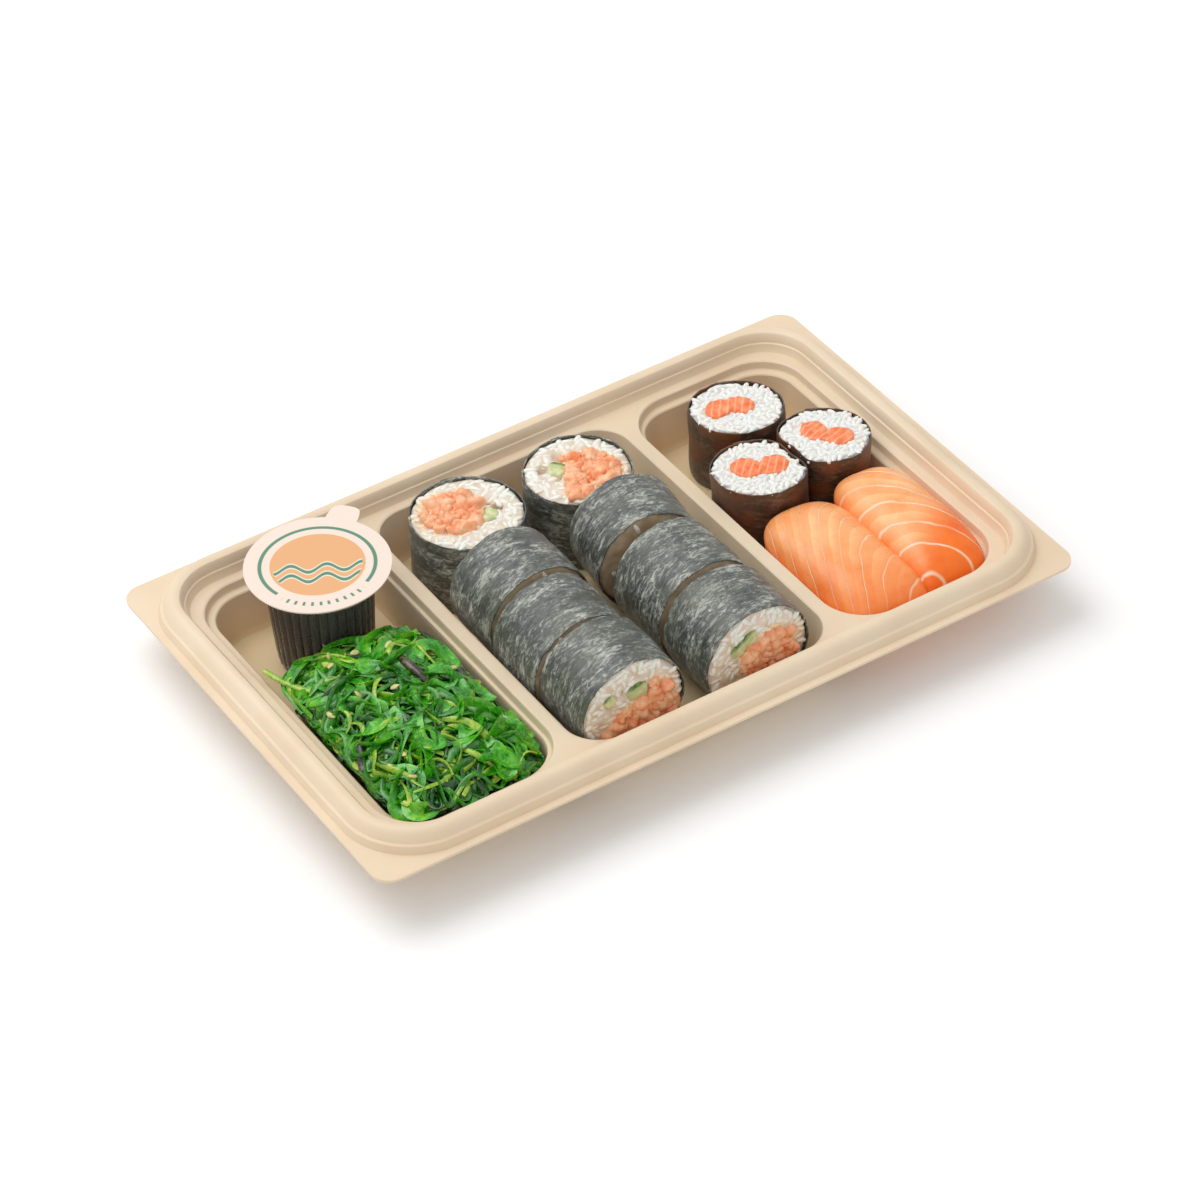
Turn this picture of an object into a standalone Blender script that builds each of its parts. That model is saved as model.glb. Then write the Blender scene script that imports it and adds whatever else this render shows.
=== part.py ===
# Takeaway sushi tray, filled: a three-compartment moulded tray with a sauce pot, a heap of
# seaweed salad, eight thick rolls, three thin rolls and two large pieces of salmon.
# Metres, +Z up. The origin is at the middle of the tray's underside.
# Run with: blender --background --python part.py

import math
import random

import bmesh
import bpy
from mathutils import Matrix, Vector

MM = 0.001
GAP = 0.3 * MM              # clearance kept between pieces that touch

# --- driving sizes of the tray ---
TRAY_LENGTH = 230 * MM
TRAY_WIDTH = 147.6 * MM
SHEET = 0.8 * MM            # thickness of the moulded sheet
FLANGE_TOP = 17.4 * MM      # upper face of the flat outer flange
FLANGE_CORNER = 6 * MM
RIM_CORNER = 25 * MM
PLATEAU_RISE = 0.0 * MM     # flat land between the compartments, above the flange
EDGE_ROUND = 0.9 * MM       # rounding where the land turns down into a compartment
FLOOR_FILLET = 2.2 * MM
WALL_INSET = 1.8 * MM       # how far a compartment narrows down to its floor fillet
STEP_DROP = 2.6 * MM        # ledge inside the two side compartments, below the land
STEP_WIDTH = 2.3 * MM

# rim section, flange to land: inset from the flange edge and height above the flange
RIM_SECTION = [
    (2.3, 0.0), (3.1, 2.2), (3.9, 2.6), (4.8, 4.4), (5.6, 5.2), (7.4, 5.7), (8.8, 5.4),
    (9.4, 4.7), (9.9, 2.7), (10.4, 2.4), (11.0, 0.5), (11.5, 0.0),
]

# compartments: x from, x to, half length in y, corner radius, and whether it has the ledge
COMPARTMENTS = {
    "side_left": (-101.5, -45.8, 60.2, 15.0, True),
    "middle": (-42.4, 42.4, 60.4, 12.0, False),
    "side_right": (45.8, 101.5, 60.2, 15.0, True),
}
DIVIDER_SHARE = 0.5         # the ledge and draft are half as wide along a divider

# --- driving sizes of the food ---
FLOOR = SHEET
THIN_ROLL_LENGTH = 23.0 * MM
NORI = 0.5 * MM
ROLL_SIDES = 20


def mm(*values):
    return tuple(value * MM for value in values)


# ------------------------------------------------------------------ scene helpers

def clear_scene():
    for thing in list(bpy.data.objects):
        bpy.data.objects.remove(thing, do_unlink=True)


def make_collection(name):
    collection = bpy.data.collections.new(name)
    bpy.context.scene.collection.children.link(collection)
    return collection


def material(name, colour, roughness, metallic=0.0, transmission=0.0):
    found = bpy.data.materials.get(name)
    if found:
        return found
    made = bpy.data.materials.new(name)
    made.use_nodes = True
    shader = made.node_tree.nodes["Principled BSDF"]
    shader.inputs["Base Color"].default_value = (*colour, 1.0)
    shader.inputs["Roughness"].default_value = roughness
    shader.inputs["Metallic"].default_value = metallic
    shader.inputs["Transmission Weight"].default_value = transmission
    made.diffuse_color = (*colour, 1.0)
    return made


def tray_material():
    return material("moulded_sheet", (0.72, 0.55, 0.33), 0.55)


def nori_material():
    return material("nori", (0.04, 0.045, 0.035), 0.6)


def rice_material():
    return material("rice", (0.82, 0.77, 0.68), 0.45)


def mixed_salmon_material():
    return material("chopped_salmon", (0.85, 0.36, 0.14), 0.4)


def salmon_material():
    return material("salmon", (0.9, 0.27, 0.06), 0.3)


def cucumber_material():
    return material("cucumber", (0.55, 0.66, 0.28), 0.35)


def seaweed_material():
    return material("seaweed", (0.05, 0.28, 0.02), 0.25)


def cup_material():
    return material("clear_cup", (0.6, 0.55, 0.5), 0.1, transmission=0.8)


def sauce_material():
    return material("sauce", (0.03, 0.01, 0.008), 0.1)


def lid_material():
    return material("paper_lid", (0.88, 0.74, 0.62), 0.5)


def object_from_bmesh(bm, name, finish, collection):
    bmesh.ops.recalc_face_normals(bm, faces=bm.faces)
    mesh = bpy.data.meshes.new(name)
    bm.to_mesh(mesh)
    bm.free()
    mesh.materials.append(finish)
    thing = bpy.data.objects.new(name, mesh)
    collection.objects.link(thing)
    return thing


def smooth(thing, degrees=40):
    thing.data.shade_smooth()
    thing.data.set_sharp_from_angle(angle=math.radians(degrees))


# ------------------------------------------------------------------ outlines

def rounded_rectangle(half_x, half_y, radius, z, centre_x=0.0, steps=4):
    """Points of a rounded rectangle, anticlockwise, with round corners in equal steps."""
    points = []
    corners = [(1, 1, 0), (-1, 1, 90), (-1, -1, 180), (1, -1, 270)]
    for side_x, side_y, start in corners:
        for step in range(steps + 1):
            angle = math.radians(start + 90 * step / steps)
            x = side_x * (half_x - radius) + radius * math.cos(angle) + centre_x
            y = side_y * (half_y - radius) + radius * math.sin(angle)
            points.append(Vector((x, y, z)))
    return points


def soft_min(a, b, blend):
    """The smaller of two lengths, with a rounded changeover."""
    h = max(blend - abs(a - b), 0.0) / blend
    return min(a, b) - h * h * blend * 0.25


def pressed_outline(radii, turn, presses, wobble, seed, count=ROLL_SIDES):
    """Outline of a roll: an oval, dented flat where a neighbour or a wall presses on it.

    presses holds (direction in degrees, distance) of each flat side.
    """
    dice = random.Random(seed)
    phases = [dice.uniform(0, 2 * math.pi) for _ in range(3)]
    points = []
    for step in range(count):
        angle = 2 * math.pi * step / count
        along = angle - math.radians(turn)
        reach = 1 / math.hypot(math.cos(along) / radii[0], math.sin(along) / radii[1])
        for order, phase in zip((2, 3, 5), phases):
            reach += wobble * math.sin(order * angle + phase) / order
        for direction, distance in presses:
            facing = math.cos(angle - math.radians(direction))
            if facing > 0.2:
                reach = soft_min(reach, distance / facing, 1.5 * MM)
        points.append((reach * math.cos(angle), reach * math.sin(angle)))
    return points


def inset_outline(points, amount):
    """The same outline, moved inward along its own radii."""
    result = []
    for x, y in points:
        length = math.hypot(x, y)
        factor = (length - amount) / length
        result.append((x * factor, y * factor))
    return result


# ------------------------------------------------------------------ building blocks

def bridge(bm, lower, upper):
    """Quads between two closed rings with the same number of points."""
    count = len(lower)
    for index in range(count):
        after = (index + 1) % count
        bm.faces.new((lower[index], lower[after], upper[after], upper[index]))


def bridge_split(bm, lower, upper):
    """As bridge, in triangles that all lean the same way, so nested walls stay parallel."""
    count = len(lower)
    for index in range(count):
        after = (index + 1) % count
        bm.faces.new((lower[index], lower[after], upper[after]))
        bm.faces.new((lower[index], upper[after], upper[index]))


def ring(bm, points):
    return [bm.verts.new(point) for point in points]


def cap(bm, verts):
    """Close a ring with a fan of triangles round its middle."""
    middle = sum((vert.co for vert in verts), Vector()) / len(verts)
    centre = bm.verts.new(middle)
    for index, vert in enumerate(verts):
        bm.faces.new((vert, verts[(index + 1) % len(verts)], centre))


def prism_body(bm, foot, head, low, high):
    """A closed body from a foot outline to a head outline."""
    bottom = ring(bm, [(x, y, low) for x, y in foot])
    top = ring(bm, [(x, y, high) for x, y in head])
    bridge_split(bm, bottom, top)
    cap(bm, bottom)
    cap(bm, top)


def tube_body(bm, foot, head, wall, low, high):
    """A closed tube from a foot outline to a head outline, with an even wall."""
    outer_foot = ring(bm, [(x, y, low) for x, y in foot])
    outer_head = ring(bm, [(x, y, high) for x, y in head])
    inner_foot = ring(bm, [(x, y, low) for x, y in inset_outline(foot, wall)])
    inner_head = ring(bm, [(x, y, high) for x, y in inset_outline(head, wall)])
    bridge_split(bm, outer_foot, outer_head)
    bridge_split(bm, inner_foot, inner_head)
    bridge(bm, outer_foot, inner_foot)
    bridge(bm, outer_head, inner_head)


def place(thing, location, rotation=(0, 0, 0)):
    thing.location = location
    thing.rotation_euler = [math.radians(angle) for angle in rotation]


# ------------------------------------------------------------------ tray

def rim_rings(bm):
    """Rings from the flange edge over the crest down to the land; returns the innermost."""
    half_x, half_y = TRAY_LENGTH / 2, TRAY_WIDTH / 2
    previous = ring(bm, rounded_rectangle(half_x, half_y, FLANGE_CORNER, FLANGE_TOP))
    for inset, rise in RIM_SECTION:
        inset, rise = inset * MM, rise * MM
        radius = max(RIM_CORNER - inset, 4 * MM)
        points = rounded_rectangle(half_x - inset, half_y - inset, radius, FLANGE_TOP + rise)
        current = ring(bm, points)
        bridge(bm, previous, current)
        previous = current
    return previous


def compartment_section(has_ledge):
    """Inset and depth below the land of each ring, from the land's edge to the floor."""
    depth = FLANGE_TOP + PLATEAU_RISE - FLOOR
    section = [(0.0, 0.0)]
    for angle in (35, 70):
        section.append((EDGE_ROUND * math.sin(math.radians(angle)),
                        EDGE_ROUND * (1 - math.cos(math.radians(angle)))))
    inset = EDGE_ROUND
    drop = EDGE_ROUND
    if has_ledge:
        section.append((inset + 0.3 * MM, STEP_DROP))
        inset += 0.3 * MM + STEP_WIDTH
        drop = STEP_DROP + 0.3 * MM
        section.append((inset, drop))
    wall_end = depth - FLOOR_FILLET
    inset += WALL_INSET * (wall_end - drop) / depth
    section.append((inset, wall_end))
    for angle in (40, 90):
        section.append((inset + FLOOR_FILLET * (1 - math.cos(math.radians(angle))) * 0.9,
                        wall_end + FLOOR_FILLET * math.sin(math.radians(angle))))
    return section


def compartment_rings(bm, x_from, x_to, half_y, corner, has_ledge):
    """Wall and floor of one compartment; returns the ring at the land's edge."""
    land = FLANGE_TOP + PLATEAU_RISE
    left_share = DIVIDER_SHARE if has_ledge and x_from > 0 else 1.0
    right_share = DIVIDER_SHARE if has_ledge and x_to < 0 else 1.0
    rings = []
    for inset, drop in compartment_section(has_ledge):
        left = x_from * MM + inset * left_share
        right = x_to * MM - inset * right_share
        radius = max(corner * MM - 0.6 * inset, 3 * MM)
        points = rounded_rectangle((right - left) / 2, half_y * MM - inset, radius, land - drop,
                                   (left + right) / 2)
        rings.append(ring(bm, points))
        if len(rings) > 1:
            bridge(bm, rings[-2], rings[-1])
    cap(bm, rings[-1])
    return rings[0]


def ring_edges(bm, verts):
    edges = []
    for index, vert in enumerate(verts):
        edges.append(bm.edges.get((vert, verts[(index + 1) % len(verts)]))
                     or bm.edges.new((vert, verts[(index + 1) % len(verts)])))
    return edges


def build_tray(collection):
    bm = bmesh.new()
    borders = [rim_rings(bm)]
    for settings in COMPARTMENTS.values():
        borders.append(compartment_rings(bm, *settings))
    edges = [edge for border in borders for edge in ring_edges(bm, border)]
    bmesh.ops.triangle_fill(bm, edges=edges, use_beauty=True)
    bmesh.ops.recalc_face_normals(bm, faces=bm.faces)
    highest = max(bm.faces, key=lambda face: face.calc_area())
    if highest.normal.z < 0:
        bmesh.ops.reverse_faces(bm, faces=bm.faces)
    mesh = bpy.data.meshes.new("tray")
    bm.to_mesh(mesh)
    bm.free()
    mesh.materials.append(tray_material())
    tray = bpy.data.objects.new("tray", mesh)
    collection.objects.link(tray)
    shell = tray.modifiers.new("sheet", "SOLIDIFY")
    shell.thickness = SHEET
    shell.offset = -1
    smooth(tray)
    return tray


# ------------------------------------------------------------------ sauce pot

POT_PLACE = mm(-70.9, 34.0, 0.8)
POT_HEIGHT = 33.2 * MM
POT_BASE_RADIUS = 13.4 * MM
POT_TOP_RADIUS = 15.4 * MM
POT_LIP_RADIUS = 20.4 * MM
POT_WALL = 0.6 * MM
POT_FLUTES = 18
LID_RADIUS = 21.0 * MM
LID_THICKNESS = 0.5 * MM
SAUCE_LEVEL = 29.5 * MM


def fluted_ring(radius, ripple, z, count):
    points = []
    for step in range(count):
        angle = 2 * math.pi * step / count
        reach = radius + (ripple if step % 2 else -ripple)
        points.append((reach * math.cos(angle), reach * math.sin(angle), z))
    return points


def build_cup(collection):
    """Fluted cup with a flat lip, open at the top."""
    bm = bmesh.new()
    count = POT_FLUTES * 2
    lip = POT_HEIGHT - LID_THICKNESS - GAP
    section = [
        (POT_BASE_RADIUS - 1.0 * MM, 0.0, 0.0),
        (POT_BASE_RADIUS, 1.2 * MM, 0.25 * MM),
        (POT_TOP_RADIUS, lip - 2.0 * MM, 0.25 * MM),
        (POT_TOP_RADIUS, lip - 0.8 * MM, 0.0),
        (POT_LIP_RADIUS, lip - 0.8 * MM, 0.0),
        (POT_LIP_RADIUS, lip, 0.0),
        (POT_TOP_RADIUS - POT_WALL, lip, 0.0),
        (POT_BASE_RADIUS - POT_WALL, 1.4 * MM, 0.0),
        (POT_BASE_RADIUS - POT_WALL - 1.0 * MM, POT_WALL, 0.0),
    ]
    rings = [ring(bm, fluted_ring(radius, ripple, z, count)) for radius, z, ripple in section]
    for lower, upper in zip(rings, rings[1:]):
        bridge(bm, lower, upper)
    cap(bm, rings[0])
    cap(bm, rings[-1])
    cup = object_from_bmesh(bm, "sauce_cup", cup_material(), collection)
    place(cup, POT_PLACE)
    smooth(cup)


def build_sauce(collection):
    """Sauce filling the cup up to its level."""
    bm = bmesh.new()
    count = 24
    slope = (POT_TOP_RADIUS - POT_BASE_RADIUS) / POT_HEIGHT
    clearance = POT_WALL + 0.45 * MM
    section = [
        (POT_BASE_RADIUS - clearance - 1.2 * MM, POT_WALL + GAP),
        (POT_BASE_RADIUS - clearance, 2.4 * MM),
        (POT_BASE_RADIUS - clearance + slope * SAUCE_LEVEL, SAUCE_LEVEL),
    ]
    rings = [ring(bm, fluted_ring(radius, 0.0, z, count)) for radius, z in section]
    for lower, upper in zip(rings, rings[1:]):
        bridge(bm, lower, upper)
    cap(bm, rings[0])
    cap(bm, rings[-1])
    sauce = object_from_bmesh(bm, "sauce", sauce_material(), collection)
    place(sauce, POT_PLACE)
    smooth(sauce)


TAB_DIRECTION = 41          # degrees, where the peel tab stands out
TAB_WIDTH = 8.5 * MM
TAB_REACH = 5.8 * MM


def lid_outline(count=40):
    """A disc with one rounded peel tab."""
    points = []
    for step in range(count):
        angle = 2 * math.pi * step / count
        away = math.remainder(angle - math.radians(TAB_DIRECTION), 2 * math.pi)
        reach = LID_RADIUS
        if math.cos(away) > 0:
            side = LID_RADIUS * math.sin(away) / (TAB_WIDTH / 2)
            if abs(side) < 1.0:
                reach += TAB_REACH * (1 - side ** 4) ** 0.5
        points.append((reach * math.cos(angle), reach * math.sin(angle)))
    return points


def build_lid(collection):
    bm = bmesh.new()
    outline = lid_outline()
    prism_body(bm, outline, outline, 0.0, LID_THICKNESS)
    lid = object_from_bmesh(bm, "sauce_lid", lid_material(), collection)
    x, y, z = POT_PLACE
    place(lid, (x, y, z + POT_HEIGHT - LID_THICKNESS))


# ------------------------------------------------------------------ seaweed salad

HEAP_X = (-96.8, -49.8)     # millimetres, at the level of the land
HEAP_Y = (-57.4, 18.2)
# height in millimetres, and how far the outline is drawn in there
HEAP_SECTION = [(1.2, 4.4), (4.0, 2.2), (13.0, 1.0), (16.5, 0.0), (19.0, 1.6), (21.5, 5.0),
                (23.6, 10.0), (25.2, 15.5)]


def build_seaweed(collection):
    """One lumpy heap that fills the front of its compartment."""
    bm = bmesh.new()
    half_x = (HEAP_X[1] - HEAP_X[0]) / 2
    half_y = (HEAP_Y[1] - HEAP_Y[0]) / 2
    centre = ((HEAP_X[0] + HEAP_X[1]) / 2, (HEAP_Y[0] + HEAP_Y[1]) / 2)
    rings = []
    for level, (height, inset) in enumerate(HEAP_SECTION):
        radius = max(12.0 - 0.3 * inset, 4.0)
        points = rounded_rectangle(half_x - inset, half_y - inset, radius, height, steps=5)
        for number, point in enumerate(points):
            lump = math.sin(1.7 * number + 2.1 * level) + 0.6 * math.sin(0.9 * number - level)
            if height > 13.0:
                point.z += 0.5 * lump
            shrink = 1 - 0.006 * (1 + lump)
            point.x = point.x * shrink + centre[0]
            point.y = point.y * shrink + centre[1]
        rings.append(ring(bm, [point * MM for point in points]))
    for lower, upper in zip(rings, rings[1:]):
        bridge(bm, lower, upper)
    cap(bm, rings[0])
    cap(bm, rings[-1])
    object_from_bmesh(bm, "seaweed_salad", seaweed_material(), collection)


# ------------------------------------------------------------------ rolls

def filling_outline(centre, radii, turn, seed, count=10):
    """A blunt, slightly uneven bar seen end on."""
    dice = random.Random(seed)
    phase = dice.uniform(0, 2 * math.pi)
    points = []
    for step in range(count):
        angle = 2 * math.pi * step / count
        fat = 1 / (abs(math.cos(angle)) ** 3 + abs(math.sin(angle)) ** 3) ** (1 / 3)
        fat *= 1 + 0.05 * math.sin(3 * angle + phase)
        x, y = radii[0] * fat * math.cos(angle), radii[1] * fat * math.sin(angle)
        c, s = math.cos(math.radians(turn)), math.sin(math.radians(turn))
        points.append((centre[0] + x * c - y * s, centre[1] + x * s + y * c))
    return points


def grown(points, amount):
    """An outline moved outward from its own middle."""
    cx = sum(x for x, _ in points) / len(points)
    cy = sum(y for _, y in points) / len(points)
    result = []
    for x, y in points:
        length = math.hypot(x - cx, y - cy)
        factor = (length + amount) / length
        result.append((cx + (x - cx) * factor, cy + (y - cy) * factor))
    return result


def cut_holes(body, fillings, length, cutters):
    """Remove from the rice a channel for each filling, a little wider than it."""
    for number, outline in enumerate(fillings):
        bm = bmesh.new()
        wide = grown(outline, GAP)
        prism_body(bm, wide, wide, -1.0 * MM, length + 1.0 * MM)
        cutter = object_from_bmesh(bm, f"{body.name}_cutter_{number}", rice_material(), cutters)
        cutter.hide_render = True
        cutter.display_type = "WIRE"
        cutter.parent = body
        cut = body.modifiers.new(f"channel_{number}", "BOOLEAN")
        cut.object = cutter
        cut.operation = "DIFFERENCE"
        cut.solver = "EXACT"


def build_roll(name, length, foot, head, fillings, location, rotation, collection, cutters):
    """Nori round rice, with bars of filling that run from end to end."""
    bm = bmesh.new()
    tube_body(bm, foot, head, NORI, 0.2 * MM, length - 0.4 * MM)
    nori = object_from_bmesh(bm, f"{name}_nori", nori_material(), collection)
    place(nori, location, rotation)
    smooth(nori)

    bm = bmesh.new()
    inner = NORI + GAP
    prism_body(bm, inset_outline(foot, inner), inset_outline(head, inner), 0.0, length)
    rice = object_from_bmesh(bm, f"{name}_rice", rice_material(), collection)
    place(rice, location, rotation)
    cut_holes(rice, [shape for _, shape, _ in fillings], length, cutters)

    for part, shape, finish in fillings:
        bm = bmesh.new()
        prism_body(bm, shape, shape, 0.1 * MM, length - 0.2 * MM)
        filling = object_from_bmesh(bm, f"{name}_{part}", finish, collection)
        place(filling, location, rotation)


# Fillings are bars: x, y, half length, half thickness and turn of their section.
HIDDEN_SALMON = (1.2, -3.6, 8.0, 4.8, 5)
HIDDEN_CUCUMBER = (0.6, 5.2, 3.6, 2.6, 0)

# each thick roll: where it stands, or the place of its front face when it lies along Y
THICK_ROLLS = {
    "futomaki_1": dict(stands=(-19.6, 38.4), length=24.6, radii=(17.6, 17.2), turn=-35,
                       salmon=(-2.6, 3.0, 6.8, 6.0, 20), cucumber=(5.0, -4.4, 3.2, 2.6, 45)),
    "futomaki_2": dict(stands=(16.9, 36.6), length=24.6, radii=(16.6, 17.0), turn=0,
                       salmon=(3.4, -2.6, 6.6, 5.6, -60), cucumber=(-4.8, 3.6, 3.2, 2.8, 50)),
    "futomaki_3": dict(lies=(-22.8, -6.2), radii=(17.2, 17.0), turn=0,
                       salmon=HIDDEN_SALMON, cucumber=HIDDEN_CUCUMBER),
    "futomaki_4": dict(lies=(-23.4, -30.6), radii=(17.2, 17.0), turn=20,
                       salmon=HIDDEN_SALMON, cucumber=HIDDEN_CUCUMBER),
    "futomaki_5": dict(lies=(-22.6, -54.0), radii=(17.2, 17.0), turn=40,
                       salmon=(2.2, -3.6, 9.2, 4.8, 8), cucumber=(1.6, 5.8, 3.4, 2.8, 10),
                       cucumber_end=(-7.6, 6.0, 2.0, 1.9, 30)),
    "futomaki_6": dict(lies=(16.0, -3.8), length=21.0, radii=(17.0, 17.0), turn=0, yaw=-8,
                       salmon=HIDDEN_SALMON, cucumber=HIDDEN_CUCUMBER),
    "futomaki_7": dict(lies=(16.8, -31.6), length=24.0, radii=(17.2, 17.0), turn=10,
                       salmon=HIDDEN_SALMON, cucumber=HIDDEN_CUCUMBER),
    "futomaki_8": dict(lies=(17.4, -55.8), radii=(17.5, 17.2), turn=30,
                       salmon=(3.6, 0.2, 7.0, 5.2, 30), cucumber=(-4.4, 6.4, 5.2, 2.0, 33)),
}


def bar(spec, seed):
    x, y, half_a, half_b, turn = spec
    return filling_outline(mm(x, y), mm(half_a, half_b), turn, seed)


def build_thick_rolls(collection, cutters):
    for seed, (name, roll) in enumerate(THICK_ROLLS.items()):
        length = roll.get("length", 22.6) * MM
        radii = mm(*roll["radii"])
        outline = pressed_outline(radii, roll["turn"], [], 0.3 * MM, seed)
        fillings = [("salmon", bar(roll["salmon"], seed), mixed_salmon_material()),
                    ("cucumber", bar(roll["cucumber"], seed + 20), cucumber_material())]
        if "cucumber_end" in roll:
            fillings.append(("cucumber_end", bar(roll["cucumber_end"], seed + 40),
                             cucumber_material()))
        if "stands" in roll:
            location = (*mm(*roll["stands"]), FLOOR + GAP)
            rotation = (0, 0, 0)
        else:
            # the roll's own +Z points out of its front face, along -Y
            x, front = mm(*roll["lies"])
            yaw = roll.get("yaw", 0)
            lowest = min(y for _, y in outline)
            location = (x - length * math.sin(math.radians(yaw)),
                        front + length * math.cos(math.radians(yaw)),
                        FLOOR + GAP - lowest)
            rotation = (90, 0, yaw)
        build_roll(name, length, outline, outline, fillings, location, rotation, collection,
                   cutters)


# each thin roll: its place, section and salmon, and how the tray's wall squeezes its foot
THIN_ROLLS = {
    "hosomaki_1": dict(stands=(71.7, 35.7), radii=(14.7, 13.4), turn=-30,
                       salmon=(-1.7, 1.2, 7.2, 3.8, -18), sides=[], foot=[]),
    "hosomaki_2": dict(stands=(85.2, 9.8), radii=(14.5, 13.4), turn=-40,
                       salmon=(0.7, 0.0, 8.0, 3.8, -54), sides=[(183, 11.6)], foot=[(0, 9.6)]),
    "hosomaki_3": dict(stands=(61.2, 8.4), radii=(14.8, 13.6), turn=-35,
                       salmon=(0.2, 0.0, 8.4, 4.0, -24), sides=[(3, 12.0)], foot=[(180, 11.4)]),
}


def presses(listed):
    return [(direction, distance * MM) for direction, distance in listed]


def build_thin_rolls(collection, cutters):
    for seed, (name, roll) in enumerate(THIN_ROLLS.items(), start=30):
        radii = mm(*roll["radii"])
        sides = presses(roll["sides"])
        foot = pressed_outline(radii, roll["turn"], sides + presses(roll["foot"]), 0.25 * MM, seed)
        head = pressed_outline(radii, roll["turn"], sides, 0.25 * MM, seed)
        fillings = [("salmon", bar(roll["salmon"], seed), salmon_material())]
        location = (*mm(*roll["stands"]), FLOOR + GAP)
        build_roll(name, THIN_ROLL_LENGTH, foot, head, fillings, location, (0, 0, 0),
                   collection, cutters)


# ------------------------------------------------------------------ salmon pieces

# each piece: middle in x and y, half width, half length, top height and lean to one side
SALMON_PIECES = {
    "salmon_nigiri_1": dict(x=(47.2, 74.4), y=(-57.4, -6.4), top=23.2, ridge=0.12),
    "salmon_nigiri_2": dict(x=(74.9, 98.6), y=(-57.2, -5.0), top=24.4, ridge=-0.10),
}
# share of the height, and how much of the footprint is left there
LOAF_SECTION = [(0.0, 0.72), (0.10, 0.82), (0.50, 0.88), (0.66, 0.95), (0.76, 1.0),
                (0.85, 0.96), (0.93, 0.84), (0.98, 0.64), (1.0, 0.38)]


BLUNTNESS_BACK = 3.6        # 2 would be a plain oval
BLUNTNESS_FRONT = 2.6


def loaf_ring(half_x, half_y, z, count=24):
    """A superellipse, blunter at the back end than at the front."""
    points = []
    for step in range(count):
        angle = 2 * math.pi * step / count
        c, s = math.cos(angle), math.sin(angle)
        blunt = BLUNTNESS_BACK if s > 0 else BLUNTNESS_FRONT
        reach = (abs(c) ** blunt + abs(s) ** blunt) ** (-1 / blunt)
        points.append([half_x * reach * c, half_y * reach * s, z])
    return points


def build_salmon_pieces(collection):
    """Two loaf-shaped pieces side by side, the fish pulled down all round."""
    for name, piece in SALMON_PIECES.items():
        x_from, x_to = mm(*piece["x"])
        y_from, y_to = mm(*piece["y"])
        half_x, half_y = (x_to - x_from) / 2, (y_to - y_from) / 2
        height = piece["top"] * MM - FLOOR - GAP
        bm = bmesh.new()
        rings = []
        for share, left in LOAF_SECTION:
            points = loaf_ring(half_x * left, half_y * (1 - (1 - left) * 0.7),
                               FLOOR + GAP + height * share)
            for point in points:
                point[0] += (x_from + x_to) / 2 + piece["ridge"] * half_x * share * (1 - left)
                point[1] += (y_from + y_to) / 2
            rings.append(ring(bm, points))
        for lower, upper in zip(rings, rings[1:]):
            bridge(bm, lower, upper)
        cap(bm, rings[0])
        cap(bm, rings[-1])
        loaf = object_from_bmesh(bm, name, salmon_material(), collection)
        smooth(loaf)


def main():
    clear_scene()
    collection = make_collection("sushi_tray")
    cutters = make_collection("cutters")
    build_tray(collection)
    build_cup(collection)
    build_sauce(collection)
    build_lid(collection)
    build_seaweed(collection)
    build_thick_rolls(collection, cutters)
    build_thin_rolls(collection, cutters)
    build_salmon_pieces(collection)


main()
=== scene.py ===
import math
import random

import bpy
import numpy as np
from mathutils import Matrix, Vector, noise


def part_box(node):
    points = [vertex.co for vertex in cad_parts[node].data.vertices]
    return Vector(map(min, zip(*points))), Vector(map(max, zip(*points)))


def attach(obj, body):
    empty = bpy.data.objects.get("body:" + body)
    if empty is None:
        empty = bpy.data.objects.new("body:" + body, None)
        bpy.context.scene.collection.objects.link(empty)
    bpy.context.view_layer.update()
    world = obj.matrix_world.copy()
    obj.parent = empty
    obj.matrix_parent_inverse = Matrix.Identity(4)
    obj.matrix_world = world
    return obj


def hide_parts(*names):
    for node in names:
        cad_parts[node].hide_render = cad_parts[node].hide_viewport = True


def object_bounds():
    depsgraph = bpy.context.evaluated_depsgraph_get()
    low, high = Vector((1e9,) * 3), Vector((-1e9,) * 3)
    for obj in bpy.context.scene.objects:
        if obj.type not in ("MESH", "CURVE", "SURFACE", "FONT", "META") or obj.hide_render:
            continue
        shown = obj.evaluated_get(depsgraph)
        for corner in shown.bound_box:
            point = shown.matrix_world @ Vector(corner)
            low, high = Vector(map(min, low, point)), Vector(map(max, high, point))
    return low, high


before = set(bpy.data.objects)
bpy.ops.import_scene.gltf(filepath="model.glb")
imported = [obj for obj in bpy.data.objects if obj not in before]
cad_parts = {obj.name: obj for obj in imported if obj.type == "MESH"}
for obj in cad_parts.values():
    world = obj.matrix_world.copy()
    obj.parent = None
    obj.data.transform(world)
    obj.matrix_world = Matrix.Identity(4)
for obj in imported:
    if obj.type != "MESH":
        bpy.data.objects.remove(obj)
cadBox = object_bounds()
mm = 0.001
print("frame loaded:", len(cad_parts), "nodes")


# camera, first of all

cameraView = dict(azimuth=-30.55, elevation=40.12, roll=-3.28, distance=1.312, lens=139.3,
                  target=(-0.0047, -0.0085, 0.0174))


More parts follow.
